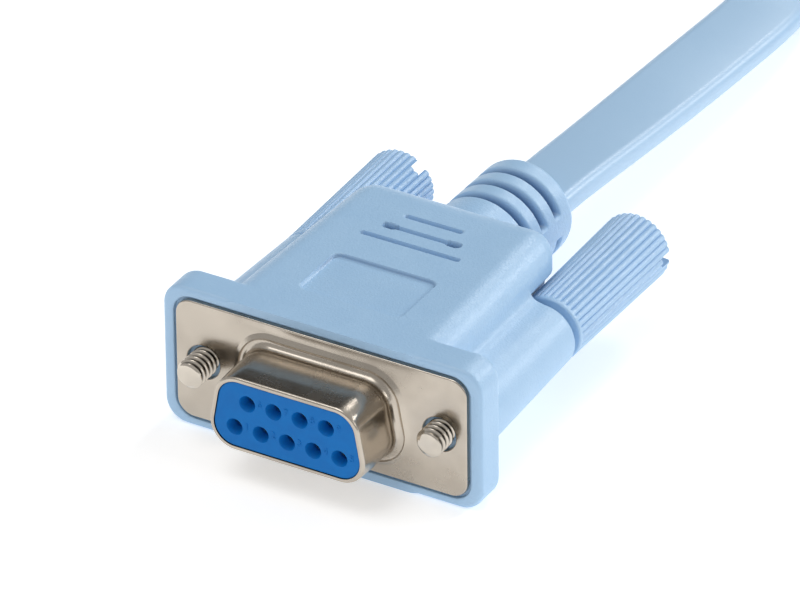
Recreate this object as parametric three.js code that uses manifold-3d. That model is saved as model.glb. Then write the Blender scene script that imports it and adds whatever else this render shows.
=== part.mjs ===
// Flat console cable: a nine-way D socket in a moulded hood, and an eight-way modular plug.
// Millimetres, +Z up. The mating face looks along -Y, the cable leaves along +Y, and the hood
// lies on the plane z = 0.
import * as THREE from 'three';
import { mergeVertices } from 'three/addons/utils/BufferGeometryUtils.js';
import Module from 'manifold-3d';

const wasm = await Module();
wasm.setup();

// Colours
const CABLE_BLUE = 0xa3c1df;
const INSULATOR_BLUE = 0x1f6fbd;
const NICKEL = 0xc9c1b4;
const GOLD = 0xd9b45a;
const CLEAR_PLASTIC = 0xe4e8ea;
const TIE_WHITE = 0xf2f2ee;

// Nine-way D connector, face, holes and shell
const FLANGE_SIDE = 2.91;
const FLANGE_HEIGHT = 12.55;
const FLANGE_CORNER = 1.7;
const SHEET = 0.5;
const SCREW_SPACING = 24.99;
const FLANGE_HOLE_RADIUS = 1.75;
const SHELL_WIDTH = 16.33;
const SHELL_HEIGHT = 7.9;
const SHELL_CORNER = 2.6;
const SHELL_SIDE_ANGLE = (10 * Math.PI) / 180;
const SHELL_REACH = 6.15;
const SHELL_FLARE = 0.9;
const RIM_ROUND = 0.2;
const CONTACT_PITCH = 2.77;
const ROW_SPACING = 2.84;
const CONTACTS_WIDE_ROW = 5;
const CONTACTS_NARROW_ROW = 4;

// Insulator and its contacts
const INSULATOR_SETBACK = 0.25;
const INSULATOR_CLEARANCE = 0.1;
const INSULATOR_TAIL = 5.2;
const MOUTH_RADIUS = 0.86;
const MOUTH_DEPTH = 0.55;
const THROAT_RADIUS = 0.55;
const THROAT_DEPTH = 1;
const CONTACT_RADIUS = 0.8;
const CONTACT_BORE = 0.51;
const CONTACT_BORE_DEPTH = 6;
const CONTACT_CLEARANCE = 0.15;
const CONTACT_TAIL = 4.8;

// Hood: bezel, body, screw sleeves and strain relief, moulded in one
const BEZEL_SIDE = 1.445;
const BEZEL_HEIGHT = 14.92;
const BEZEL_CORNER = 2.3;
const BEZEL_FRONT = 0.15;
const BEZEL_DEPTH = 3.75;
const BEZEL_FRONT_EDGE = 0.45;
const BEZEL_REAR_EDGE = 0.8;
const RECESS_CLEARANCE = 0.3;
const SEAT_CLEARANCE = 0.05;
const POCKET_CLEARANCE = 0.3;
const BODY_FRONT_WIDTH = 23.4;
const BODY_REAR_WIDTH = 21.2;
const BODY_EDGE = 2.7;
const BODY_REAR_ROUND = 3.7;
const BODY_REAR_TURN = 83 * (Math.PI / 180);
const BODY_END = 27;
const SLEEVE_FRONT_RADIUS = 3.9;
const SLEEVE_REAR_RADIUS = 3.32;
const SLEEVE_END = 19.5;
const SLEEVE_EDGE = 0.15;
const SLEEVE_BORE = 1.85;
const RELIEF_FRONT_RADIUS = 5.25;
const RELIEF_REAR_RADIUS = 5.05;
const RELIEF_RISE = 0.2;
const RELIEF_END = 38.5;
const RELIEF_EDGE = 0.8;
const RELIEF_GROOVES = 3;
const RELIEF_GROOVE_START = 30.2;
const RELIEF_GROOVE_PITCH = 2.55;
const RELIEF_GROOVE_WIDTH = 1.1;
const RELIEF_GROOVE_DEPTH = 1.25;
const RELIEF_WEB = 1.8;

// Marks sunk in the hood's top
const LABEL_WIDTH = 10.9;
const LABEL_LENGTH = 7;
const LABEL_CORNER = 0.9;
const LABEL_DEPTH = 0.35;
const LABEL_MIDDLE = 8.8;
const GRIP_FIRST = 16.52;
const GRIP_PITCH = 2.2;
const GRIP_WIDTH = 0.55;
const GRIP_DEPTH = 0.4;
const GRIP_LENGTHS = [10.5, 8.2, 6.1];
const POCKET_LENGTH = 1.5;
const POCKET_WIDTH = 0.85;
const POCKET_DEPTH = 1.2;

// Thumbscrews: a 4-40 screw in a ribbed plastic knob
const SCREW_RADIUS = 1.42;
const THREAD_DEPTH = 0.32;
const THREAD_PITCH = 0.635;
const THREAD_TURNS = 7;
const SCREW_TIP_BEVEL = 0.35;
const SCREW_REACH = 22.5;
const SCREW_IN_KNOB = 11;
const KNOB_LENGTH = 17;
const KNOB_FRONT_RADIUS = 3.32;
const KNOB_REAR_RADIUS = 3.58;
const KNOB_RIBS = 32;
const KNOB_RIB_DEPTH = 0.16;
const KNOB_EDGE = 0.4;
const KNOB_BORE_CLEARANCE = 0.1;
const KNOB_CLEARANCE = 0.3;
const LEFT_KNOB_GAP = 0.2;
const RIGHT_KNOB_GAP = 0.95;
const SLOT_WIDTH = 1.1;
const SLOT_DEPTH = 1.6;

// Flat cable: its section, its drop to the surface, and the hank
const CABLE_WIDTH = 7.5;
const CABLE_THICKNESS = 2.5;
const CABLE_CLEARANCE = 0.3;
const CABLE_SOCKET_DEPTH = 1.2;
const CABLE_STEPS = 16;
const TAIL_STEPS = 12;
const HANK_TURNS = 6;
const HANK_PITCH = 2.65;
const HANK_INNER_RADIUS = 19;
const HANK_RUN = 50;
const HANK_START = 98;
const TIE_THICKNESS = 0.8;
const TIE_WIDTH = 4;
const TIE_CLEARANCE = 0.3;

// Modular plug on the far end
const PLUG_WIDTH = 11.68;
const PLUG_LENGTH = 21.5;
const PLUG_HEIGHT = 6.6;
const PLUG_EDGE = 0.3;
const PLUG_CAVITY = 9;
const PLUG_CONTACTS = 8;
const PLUG_CONTACT_PITCH = 1.02;
const PLUG_CONTACT_WIDTH = 0.36;
const PLUG_SLOT_WIDTH = 0.6;
const PLUG_SLOT_LENGTH = 4.6;
const PLUG_SLOT_DEPTH = 1.7;
const PLUG_BLADE_SETBACK = 0.35;
const LATCH_WIDTH = 6.2;
const LATCH_TAB_WIDTH = 3.2;
const LATCH_THICKNESS = 1;
const LATCH_ROOT = 1.4;
const LATCH_LENGTH = 15.5;
const LATCH_RISE = 3.4;
const LATCH_SEAT = 0.2;
const LATCH_EDGE = 0.2;
const LATCH_STEP = 0.45;
const PLUG_CLEARANCE = 0.3;
const PLUG_SETBACK = 1.65;

// Steps of round shapes, and small margins
const ARC_STEPS = 5;
const EDGE_STEPS = 4;
const ROUND_STEPS = 32;
const SMALL_ROUND_STEPS = 12;
const ROUND_END_MARGIN = 0.01;
const CUT_MARGIN = 1;
const HALF = Math.PI / 2;

// Derived places
const screwX = SCREW_SPACING / 2;
const flangeWidth = SCREW_SPACING + 2 * FLANGE_SIDE;
const bezelWidth = flangeWidth + 2 * BEZEL_SIDE;
const bezelRear = BEZEL_FRONT + BEZEL_DEPTH;
const insulatorFront = -SHELL_REACH + INSULATOR_SETBACK;
const recessFloor = SHEET + SEAT_CLEARANCE;
const axisHeight = BEZEL_HEIGHT / 2;
const shellHalfWidth = shellMiddleHalfWidth();
const hankOuterRadius = HANK_INNER_RADIUS + HANK_TURNS * HANK_PITCH;
const hankX = hankOuterRadius - bezelWidth / 2 + CABLE_THICKNESS / 2;
const runFaceX = hankX - HANK_INNER_RADIUS + CABLE_THICKNESS / 2;
const plugX = runFaceX + PLUG_CLEARANCE + PLUG_WIDTH / 2;
const hankMiddle = HANK_START + hankOuterRadius + (CABLE_THICKNESS + HANK_RUN) / 2;
const plugPlace = hankMiddle + HANK_RUN / 2 - PLUG_SETBACK - PLUG_LENGTH;

function shellMiddleHalfWidth() {
  const inset = SHELL_HEIGHT / 2 - SHELL_CORNER;
  const slant = SHELL_CORNER / Math.cos(SHELL_SIDE_ANGLE);
  return SHELL_WIDTH / 2 - inset * Math.tan(SHELL_SIDE_ANGLE) + slant - SHELL_CORNER;
}

// Points of an arc about (cx, cz), from one angle to another
function arc(cx, cz, radius, from, to, steps = ARC_STEPS) {
  return Array.from({ length: steps + 1 }, (_, i) => {
    const angle = from + ((to - from) * i) / steps;
    return [cx + radius * Math.cos(angle), cz + radius * Math.sin(angle)];
  });
}

// Rectangle with round corners, counter-clockwise with x to the right and z up
function roundedRectangle(width, height, corner) {
  const x = width / 2 - corner;
  const z = height / 2 - corner;
  return [
    ...arc(x, -z, corner, -HALF, 0),
    ...arc(x, z, corner, 0, HALF),
    ...arc(-x, z, corner, HALF, 2 * HALF),
    ...arc(-x, -z, corner, 2 * HALF, 3 * HALF),
  ];
}

// The connector's D outline, grown outwards by an offset. The wide side is at the bottom.
function dOutline(offset) {
  const z = SHELL_HEIGHT / 2 - SHELL_CORNER;
  const tilt = SHELL_SIDE_ANGLE;
  const slant = SHELL_CORNER / Math.cos(tilt);
  const low = shellHalfWidth + z * Math.tan(tilt) - slant;
  const high = shellHalfWidth - z * Math.tan(tilt) - slant;
  const corner = SHELL_CORNER + offset;
  return [
    ...arc(low, -z, corner, -HALF, tilt),
    ...arc(high, z, corner, tilt, HALF),
    ...arc(-high, z, corner, HALF, 2 * HALF - tilt),
    ...arc(-low, -z, corner, 2 * HALF - tilt, 3 * HALF),
  ];
}

function circle(radius, steps = ROUND_STEPS) {
  return arc(0, 0, radius, 0, 2 * Math.PI, steps).slice(0, steps);
}

// A closed body from vertices and triangles, turned so that its faces point out
function closedBody(vertices, triangles) {
  const volume = triangles.reduce((sum, [a, b, c]) => {
    const [p, q, r] = [a, b, c].map((i) => new THREE.Vector3(...vertices[i]));
    return sum + p.dot(q.cross(r));
  }, 0);
  const faces = volume < 0 ? triangles.map(([a, b, c]) => [a, c, b]) : triangles;
  return new wasm.Manifold(new wasm.Mesh({
    numProp: 3,
    vertProperties: new Float32Array(vertices.flat()),
    triVerts: new Uint32Array(faces.flat()),
  }));
}

// Joins rings of equal length, each { y, outline }, by faces from one to the next
function ringFaces(count, pairs) {
  const faces = [];
  for (const [a, b] of pairs) {
    for (let i = 0; i < count; i += 1) {
      const j = (i + 1) % count;
      faces.push([a * count + i, b * count + i, b * count + j]);
      faces.push([a * count + i, b * count + j, a * count + j]);
    }
  }
  return faces;
}

// Solid through a row of rings along Y, closed by a fan at each end
function loft(rings) {
  const count = rings[0].outline.length;
  const vertices = rings.flatMap(({ y, outline }) => outline.map(([x, z]) => [x, y, z]));
  const faces = ringFaces(count, rings.slice(1).map((_, k) => [k, k + 1]));
  for (const [ring, flip] of [[0, false], [rings.length - 1, true]]) {
    const { y, outline } = rings[ring];
    const middle = vertices.length;
    const mean = (axis) => outline.reduce((sum, p) => sum + p[axis], 0) / count;
    vertices.push([mean(0), y, mean(1)]);
    for (let i = 0; i < count; i += 1) {
      const [a, b] = [ring * count + i, ring * count + ((i + 1) % count)];
      faces.push(flip ? [middle, b, a] : [middle, a, b]);
    }
  }
  return closedBody(vertices, faces);
}

// Ring-shaped wall: each point of a closed profile is an offset from the D outline and a y
function dWall(profile) {
  const rings = profile.map(([offset, y]) => ({ y, outline: dOutline(offset) }));
  const count = rings[0].outline.length;
  const vertices = rings.flatMap(({ y, outline }) => outline.map(([x, z]) => [x, y, z]));
  return closedBody(vertices, ringFaces(count, rings.map((_, k) => [k, (k + 1) % rings.length])));
}

function extrude(outline, from, to) {
  return loft([{ y: from, outline }, { y: to, outline }]);
}

// Solid turned about the Y axis, from [radius, y] pairs
function turned(profile, steps = ROUND_STEPS) {
  return loft(profile.map(([radius, y]) => ({ y, outline: circle(radius, steps) })));
}

function box(width, depth, height) {
  return fromGeometry(new THREE.BoxGeometry(width, depth, height));
}

function fromGeometry(geometry) {
  const bare = geometry.clone();
  bare.deleteAttribute('normal');
  bare.deleteAttribute('uv');
  const merged = mergeVertices(bare);
  return new wasm.Manifold(new wasm.Mesh({
    numProp: 3,
    vertProperties: new Float32Array(merged.attributes.position.array),
    triVerts: new Uint32Array(merged.index.array),
  }));
}

function toGeometry(solid) {
  const { vertProperties, triVerts } = solid.getMesh();
  const geometry = new THREE.BufferGeometry();
  geometry.setAttribute('position', new THREE.BufferAttribute(vertProperties, 3));
  geometry.setIndex(new THREE.BufferAttribute(triVerts, 1));
  geometry.computeVertexNormals();
  return geometry;
}

function union(solids) {
  return solids.reduce((whole, solid) => whole.add(solid));
}

function plastic(color, roughness = 0.55) {
  return new THREE.MeshStandardMaterial({ color, roughness, metalness: 0 });
}

function metal(color, roughness = 0.3) {
  return new THREE.MeshStandardMaterial({ color, roughness, metalness: 1 });
}

function piece(name, solid, material) {
  const mesh = new THREE.Mesh(toGeometry(solid), material);
  mesh.name = name;
  return mesh;
}

// Hood

// Rounded plate whose front and rear edges are eased by quarter rounds
function easedPlate({ width, height, corner }, [from, to], [frontEdge, rearEdge]) {
  const rings = [];
  const ring = (y, inset) => rings.push({
    y,
    outline: roundedRectangle(width - 2 * inset, height - 2 * inset, corner - inset / 2),
  });
  for (const [along, inset] of arc(0, 0, 1, 0, HALF, EDGE_STEPS)) {
    ring(from + frontEdge * (1 - along), frontEdge * (1 - inset));
  }
  rings.sort((a, b) => a.y - b.y);
  for (const [along, rise] of arc(0, 0, 1, HALF, 0, EDGE_STEPS)) {
    ring(to - rearEdge * (1 - along), rearEdge * (1 - rise));
  }
  return loft(rings);
}

function bodyWidthAt(y) {
  const share = (y - bezelRear) / (BODY_END - bezelRear);
  return BODY_FRONT_WIDTH + (BODY_REAR_WIDTH - BODY_FRONT_WIDTH) * share;
}

function hoodBody() {
  const ring = (y, inset) => ({
    y,
    outline: roundedRectangle(bodyWidthAt(y) - 2 * inset, BEZEL_HEIGHT - 2 * inset, BODY_EDGE),
  });
  const start = BEZEL_FRONT + BEZEL_DEPTH / 2;
  const turn = BODY_END - BODY_REAR_ROUND;
  const rear = arc(0, 0, BODY_REAR_ROUND, 0, BODY_REAR_TURN, 2 * EDGE_STEPS)
    .map(([across, along]) => ring(turn + along, BODY_REAR_ROUND - across));
  return loft([ring(start, 0), ...rear]);
}

function sleeve(side) {
  return turned([
    [SLEEVE_FRONT_RADIUS, bezelRear - BEZEL_REAR_EDGE],
    [SLEEVE_REAR_RADIUS, SLEEVE_END - SLEEVE_EDGE],
    [SLEEVE_REAR_RADIUS - SLEEVE_EDGE, SLEEVE_END],
  ]).translate([side * screwX, 0, 0]);
}

function strainRelief() {
  const start = BODY_END - BODY_REAR_ROUND;
  const rounding = arc(0, 0, RELIEF_EDGE, 0, HALF, EDGE_STEPS).map(([across, along]) => [
    RELIEF_REAR_RADIUS - RELIEF_EDGE + across,
    RELIEF_END - RELIEF_EDGE + along,
  ]);
  const solid = turned([[RELIEF_FRONT_RADIUS, start], ...rounding]);
  const grooves = Array.from({ length: RELIEF_GROOVES }, (_, i) => {
    const from = RELIEF_GROOVE_START + i * RELIEF_GROOVE_PITCH;
    const to = from + RELIEF_GROOVE_WIDTH;
    const core = circle(RELIEF_REAR_RADIUS - RELIEF_GROOVE_DEPTH);
    const ring = extrude(circle(2 * RELIEF_FRONT_RADIUS), from, to)
      .subtract(extrude(core, from - CUT_MARGIN, to + CUT_MARGIN));
    const web = box(5 * RELIEF_FRONT_RADIUS, 2 * RELIEF_GROOVE_WIDTH, RELIEF_WEB)
      .translate([0, (from + to) / 2, 0]);
    return ring.subtract(web);
  });
  return solid.subtract(union(grooves)).translate([0, 0, RELIEF_RISE]);
}

function topMarks() {
  const top = BEZEL_HEIGHT / 2;
  const marks = [];
  const sunk = (outline, depth, x, y) => marks.push(
    extrude(outline, -CUT_MARGIN, depth).rotate([-90, 0, 0]).translate([x, y, top]),
  );
  sunk(roundedRectangle(LABEL_WIDTH, LABEL_LENGTH, LABEL_CORNER), LABEL_DEPTH, 0, LABEL_MIDDLE);
  GRIP_LENGTHS.forEach((length, i) => {
    const y = GRIP_FIRST + i * GRIP_PITCH;
    const corner = GRIP_WIDTH / 2 - ROUND_END_MARGIN;
    sunk(roundedRectangle(length, GRIP_WIDTH, corner), GRIP_DEPTH, 0, y);
  });
  for (const side of [-1, 1]) {
    const x = side * (GRIP_LENGTHS[1] - POCKET_LENGTH) / 2;
    const corner = POCKET_WIDTH / 2 - ROUND_END_MARGIN;
    const outline = roundedRectangle(POCKET_LENGTH, POCKET_WIDTH, corner);
    sunk(outline, POCKET_DEPTH, x, GRIP_FIRST + GRIP_PITCH);
  }
  return union(marks);
}

function cableOutline(grow = 0) {
  const corner = CABLE_THICKNESS / 2 + grow - ROUND_END_MARGIN;
  return roundedRectangle(CABLE_WIDTH + 2 * grow, CABLE_THICKNESS + 2 * grow, corner);
}

function hood() {
  const recess = roundedRectangle(
    flangeWidth + 2 * RECESS_CLEARANCE,
    FLANGE_HEIGHT + 2 * RECESS_CLEARANCE,
    FLANGE_CORNER + RECESS_CLEARANCE,
  );
  const bezel = { width: bezelWidth, height: BEZEL_HEIGHT, corner: BEZEL_CORNER };
  const solid = union([
    easedPlate(bezel, [BEZEL_FRONT, bezelRear], [BEZEL_FRONT_EDGE, BEZEL_REAR_EDGE]),
    hoodBody(),
    sleeve(-1),
    sleeve(1),
    strainRelief(),
  ]);
  const bores = [-1, 1].map((side) => (
    turned([[SLEEVE_BORE, 0], [SLEEVE_BORE, SLEEVE_END + CUT_MARGIN]])
      .translate([side * screwX, 0, 0])
  ));
  const well = KNOB_REAR_RADIUS + KNOB_CLEARANCE;
  const wells = [-1, 1].map((side) => (
    turned([[well, SLEEVE_END], [well, BODY_END + CUT_MARGIN]])
      .translate([side * screwX, 0, 0])
  ));
  const socketFloor = RELIEF_END - CABLE_SOCKET_DEPTH;
  const socket = extrude(cableOutline(CABLE_CLEARANCE), socketFloor, RELIEF_END + CUT_MARGIN)
    .translate([0, 0, RELIEF_RISE]);
  const pocketFloor = INSULATOR_TAIL + POCKET_CLEARANCE;
  return solid
    .subtract(extrude(recess, -CUT_MARGIN, recessFloor))
    .subtract(extrude(dOutline(-SHEET + SEAT_CLEARANCE), 0, pocketFloor))
    .subtract(union(bores))
    .subtract(union(wells))
    .subtract(topMarks())
    .subtract(socket);
}

// Metal shell: flange plate and D-shaped wall drawn from one sheet
function frontShell() {
  const plate = extrude(roundedRectangle(flangeWidth, FLANGE_HEIGHT, FLANGE_CORNER), 0, SHEET);
  const holes = [-1, 1].map((side) => (
    turned([[FLANGE_HOLE_RADIUS, -CUT_MARGIN], [FLANGE_HOLE_RADIUS, CUT_MARGIN]])
      .translate([side * screwX, 0, 0])
  ));
  const flare = arc(SHELL_FLARE, -SHELL_FLARE, SHELL_FLARE, 2 * HALF, HALF);
  const wall = dWall([
    [-SHEET, SHEET],
    [-SHEET, -SHELL_REACH + RIM_ROUND],
    [-SHEET + RIM_ROUND, -SHELL_REACH],
    [-RIM_ROUND, -SHELL_REACH],
    [0, -SHELL_REACH + RIM_ROUND],
    ...flare,
    [SHELL_FLARE, SHEET],
  ]);
  const middle = extrude(dOutline(-SHEET / 2), -CUT_MARGIN, CUT_MARGIN);
  return plate.subtract(middle).add(wall).subtract(union(holes));
}

// Places of the nine contacts as [x, z]: the wide row below, the narrow row above
function contactPlaces() {
  const row = (count, z) => Array.from(
    { length: count },
    (_, i) => [(i - (count - 1) / 2) * CONTACT_PITCH, z],
  );
  return [
    ...row(CONTACTS_WIDE_ROW, -ROW_SPACING / 2),
    ...row(CONTACTS_NARROW_ROW, ROW_SPACING / 2),
  ];
}

function insulator() {
  const cavityRadius = CONTACT_RADIUS + CONTACT_CLEARANCE;
  const cavityStart = insulatorFront + THROAT_DEPTH;
  const slope = (MOUTH_RADIUS - THROAT_RADIUS) / MOUTH_DEPTH;
  const hole = turned([
    [MOUTH_RADIUS + slope * CUT_MARGIN, insulatorFront - CUT_MARGIN],
    [THROAT_RADIUS, insulatorFront + MOUTH_DEPTH],
    [THROAT_RADIUS, cavityStart - ROUND_END_MARGIN],
    [cavityRadius, cavityStart],
    [cavityRadius, INSULATOR_TAIL + CUT_MARGIN],
  ], SMALL_ROUND_STEPS);
  const holes = contactPlaces().map(([x, z]) => hole.translate([x, 0, z]));
  return extrude(dOutline(-SHEET - INSULATOR_CLEARANCE), insulatorFront, INSULATOR_TAIL)
    .subtract(union(holes));
}

function socketContact() {
  const front = insulatorFront + THROAT_DEPTH + CONTACT_CLEARANCE;
  const bore = turned([
    [CONTACT_BORE, front - CUT_MARGIN],
    [CONTACT_BORE, front + CONTACT_BORE_DEPTH],
  ], SMALL_ROUND_STEPS);
  return turned([[CONTACT_RADIUS, front], [CONTACT_RADIUS, CONTACT_TAIL]], SMALL_ROUND_STEPS)
    .subtract(bore);
}

// Thumbscrews. The gap is the play between the sleeve's end and the knob's front.

function screw(knobGap) {
  const knobFront = SLEEVE_END + knobGap;
  const tip = knobFront - SCREW_REACH;
  const root = SCREW_RADIUS - THREAD_DEPTH;
  const profile = [[SCREW_RADIUS - SCREW_TIP_BEVEL, tip], [SCREW_RADIUS, tip + SCREW_TIP_BEVEL]];
  for (let turn = 0; turn < THREAD_TURNS; turn += 1) {
    const start = tip + SCREW_TIP_BEVEL + turn * THREAD_PITCH;
    profile.push([root, start + THREAD_PITCH / 2], [SCREW_RADIUS, start + THREAD_PITCH]);
  }
  profile.push([SCREW_RADIUS, knobFront + SCREW_IN_KNOB]);
  return turned(profile, SMALL_ROUND_STEPS);
}

function ribbedOutline(radius) {
  const count = 2 * KNOB_RIBS;
  return Array.from({ length: count }, (_, i) => {
    const angle = (2 * Math.PI * i) / count;
    const r = radius - KNOB_RIB_DEPTH * (i % 2);
    return [r * Math.cos(angle), r * Math.sin(angle)];
  });
}

function knob(knobGap) {
  const front = SLEEVE_END + knobGap;
  const rear = front + KNOB_LENGTH;
  const body = loft([
    { y: front, outline: ribbedOutline(KNOB_FRONT_RADIUS - KNOB_EDGE / 2) },
    { y: front + KNOB_EDGE / 2, outline: ribbedOutline(KNOB_FRONT_RADIUS) },
    { y: rear - KNOB_EDGE, outline: ribbedOutline(KNOB_REAR_RADIUS) },
    { y: rear, outline: ribbedOutline(KNOB_REAR_RADIUS - KNOB_EDGE) },
  ]);
  const bore = turned([
    [SCREW_RADIUS + KNOB_BORE_CLEARANCE, front - CUT_MARGIN],
    [SCREW_RADIUS + KNOB_BORE_CLEARANCE, front + SCREW_IN_KNOB + KNOB_BORE_CLEARANCE],
  ], SMALL_ROUND_STEPS);
  const slot = box(4 * KNOB_REAR_RADIUS, 2 * SLOT_DEPTH, SLOT_WIDTH).translate([0, rear, 0]);
  return body.subtract(bore).subtract(slot);
}

// Flat cable

// Heights of the cable's middle above the floor as it sinks from the strain relief
function cableRoute() {
  const exit = axisHeight + RELIEF_RISE;
  const floor = CABLE_THICKNESS / 2;
  const points = [
    [RELIEF_END - CABLE_SOCKET_DEPTH + CABLE_CLEARANCE, exit],
    [42, exit - 0.1],
    [46, exit - 0.4],
    [50, exit - 0.8],
    [54, exit - 1.25],
    [58, exit - 1.75],
    [62, exit - 2.25],
    [66, exit - 2.8],
    [70, exit - 3.35],
    [74, exit - 3.9],
    [78, exit - 4.45],
    [82, exit - 5],
    [86, exit - 5.55],
    [90, floor + 0.28],
    [94, floor + 0.08],
    [cableEnd(), floor],
  ];
  return points.map(([y, z]) => new THREE.Vector3(0, y, z));
}

// Where the cable's square end comes within its clearance of the hank's round end
function cableEnd() {
  const reach = hankX - CABLE_WIDTH / 2;
  const radius = hankOuterRadius + CABLE_THICKNESS / 2;
  const middle = HANK_START + radius;
  return middle - Math.sqrt(radius * radius - reach * reach) - CABLE_CLEARANCE;
}

// The cable's end between the hank and the plug, from the plug's cavity down to the floor
function tailRoute() {
  const high = PLUG_HEIGHT / 2;
  const floor = CABLE_THICKNESS / 2;
  const tailX = runFaceX + CABLE_CLEARANCE + CABLE_WIDTH / 2;
  const points = [
    [plugX, PLUG_CAVITY - CABLE_CLEARANCE, high],
    [plugX, 2, high - 0.02],
    [plugX - 0.1, -4, high - 0.25],
    [(plugX + tailX) / 2, -10, high - 1],
    [tailX + 0.2, -16, floor + 0.3],
    [tailX, -21, floor + 0.08],
    [tailX, -26, floor],
  ];
  return points.map(([x, y, z]) => new THREE.Vector3(x, plugPlace + y, z));
}

function flatTube(route, steps) {
  const round = CABLE_THICKNESS / 2;
  const straight = CABLE_WIDTH / 2 - round;
  const shape = new THREE.Shape([
    ...arc(straight, 0, round, -HALF, HALF, EDGE_STEPS),
    ...arc(-straight, 0, round, HALF, 3 * HALF, EDGE_STEPS),
  ].map(([x, y]) => new THREE.Vector2(x, y)));
  const extrudePath = new THREE.CatmullRomCurve3(route);
  return fromGeometry(new THREE.ExtrudeGeometry(shape, { steps, extrudePath }));
}

// Racetrack outline, its long sides along Y
function racetrack(radius, run) {
  const side = run / 2;
  return [
    ...arc(0, side, radius, 0, 2 * HALF, ROUND_STEPS / 2),
    ...arc(0, -side, radius, 2 * HALF, 4 * HALF, ROUND_STEPS / 2),
  ];
}

function upright(outline, height) {
  const shape = new THREE.Shape(outline.map(([x, y]) => new THREE.Vector2(x, y)));
  return fromGeometry(new THREE.ExtrudeGeometry(shape, { depth: height, bevelEnabled: false }));
}

function cableHank() {
  const half = CABLE_THICKNESS / 2;
  const outer = upright(racetrack(hankOuterRadius + half, HANK_RUN), CABLE_WIDTH);
  const hole = upright(racetrack(HANK_INNER_RADIUS - half, HANK_RUN), CABLE_WIDTH + 2 * CUT_MARGIN)
    .translate([0, 0, -CUT_MARGIN]);
  return outer.subtract(hole).translate([hankX, hankMiddle, 0]);
}

// Band round the hank's right-hand run, a hair above the floor
function cableTie() {
  const bundle = hankOuterRadius - HANK_INNER_RADIUS + CABLE_THICKNESS;
  const x = hankX + (hankOuterRadius + HANK_INNER_RADIUS) / 2;
  const inner = [bundle + 2 * TIE_CLEARANCE, CABLE_WIDTH + TIE_CLEARANCE];
  const outer = box(inner[0] + 2 * TIE_THICKNESS, TIE_WIDTH, inner[1] + TIE_THICKNESS)
    .translate([x, hankMiddle, (inner[1] + TIE_THICKNESS) / 2]);
  const opening = box(inner[0], 2 * TIE_WIDTH, 2 * inner[1]).translate([x, hankMiddle, 0]);
  return outer.subtract(opening);
}

// Modular plug beside the hank's inner run. Its contact side is down and its latch is on top.

function plugBlock() {
  const section = { width: PLUG_WIDTH, height: PLUG_HEIGHT, corner: 2 * PLUG_EDGE };
  const block = easedPlate(section, [0, PLUG_LENGTH], [PLUG_EDGE, PLUG_EDGE]);
  const cavity = extrude(cableOutline(CABLE_CLEARANCE), -CUT_MARGIN, PLUG_CAVITY);
  const slots = contactSlots(PLUG_SLOT_WIDTH, PLUG_SLOT_LENGTH, PLUG_SLOT_DEPTH);
  return block.subtract(cavity).subtract(union(slots));
}

function contactSlots(width, length, depth) {
  return Array.from({ length: PLUG_CONTACTS }, (_, i) => {
    const x = (i - (PLUG_CONTACTS - 1) / 2) * PLUG_CONTACT_PITCH;
    return box(width, 2 * length, 2 * depth).translate([x, PLUG_LENGTH, -PLUG_HEIGHT / 2]);
  });
}

// Springy latch: rooted at the nose, rising towards the cable, stepped to a narrow tab
function plugLatch() {
  const nose = PLUG_LENGTH - LATCH_ROOT;
  const top = PLUG_HEIGHT / 2;
  const arm = (from, to, width) => {
    const height = (share) => top + LATCH_SEAT + (LATCH_RISE - LATCH_SEAT) * share;
    const section = (y, share) => ({
      y,
      outline: roundedRectangle(width, LATCH_THICKNESS, LATCH_EDGE)
        .map(([x, z]) => [x, z + height(share)]),
    });
    return loft([
      section(nose - LATCH_LENGTH * to, to),
      section(nose - LATCH_LENGTH * from, from),
    ]);
  };
  const root = box(LATCH_WIDTH, 2 * LATCH_ROOT, 2 * LATCH_THICKNESS)
    .translate([0, nose, top + LATCH_SEAT - LATCH_THICKNESS / 2]);
  const tabStart = LATCH_STEP - ROUND_END_MARGIN;
  return union([arm(0, LATCH_STEP, LATCH_WIDTH), arm(tabStart, 1, LATCH_TAB_WIDTH), root]);
}

function plugBlade(index) {
  const x = (index - (PLUG_CONTACTS - 1) / 2) * PLUG_CONTACT_PITCH;
  const length = PLUG_SLOT_LENGTH - 2 * PLUG_BLADE_SETBACK;
  const height = PLUG_SLOT_DEPTH - 2 * PLUG_BLADE_SETBACK;
  return box(PLUG_CONTACT_WIDTH, length, height).translate([
    x,
    PLUG_LENGTH - PLUG_SLOT_LENGTH / 2,
    -PLUG_HEIGHT / 2 + PLUG_BLADE_SETBACK + height / 2,
  ]);
}

// The whole model
const hoodPlastic = plastic(CABLE_BLUE);
const nickel = metal(NICKEL);
const gold = metal(GOLD);

const connector = new THREE.Group();
connector.add(piece('hood', hood(), hoodPlastic));
connector.add(piece('front_shell', frontShell(), nickel));
connector.add(piece('insulator', insulator(), plastic(INSULATOR_BLUE)));
contactPlaces().forEach(([x, z], i) => {
  const contact = piece(`socket_contact_${i + 1}`, socketContact(), gold);
  contact.position.set(x, 0, z);
  connector.add(contact);
});
for (const [name, side, gap] of [['left', -1, LEFT_KNOB_GAP], ['right', 1, RIGHT_KNOB_GAP]]) {
  const thread = piece(`${name}_screw`, screw(gap), nickel);
  const handle = piece(`${name}_knob`, knob(gap), hoodPlastic);
  for (const mesh of [thread, handle]) {
    mesh.position.x = side * screwX;
    connector.add(mesh);
  }
}
connector.position.z = axisHeight;

const cable = new THREE.Group();
cable.add(piece('flat_cable', flatTube(cableRoute(), CABLE_STEPS), hoodPlastic));
cable.add(piece('cable_hank', cableHank(), hoodPlastic));
cable.add(piece('cable_tail', flatTube(tailRoute(), TAIL_STEPS), hoodPlastic));
cable.add(piece('cable_tie', cableTie(), plastic(TIE_WHITE)));

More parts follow.
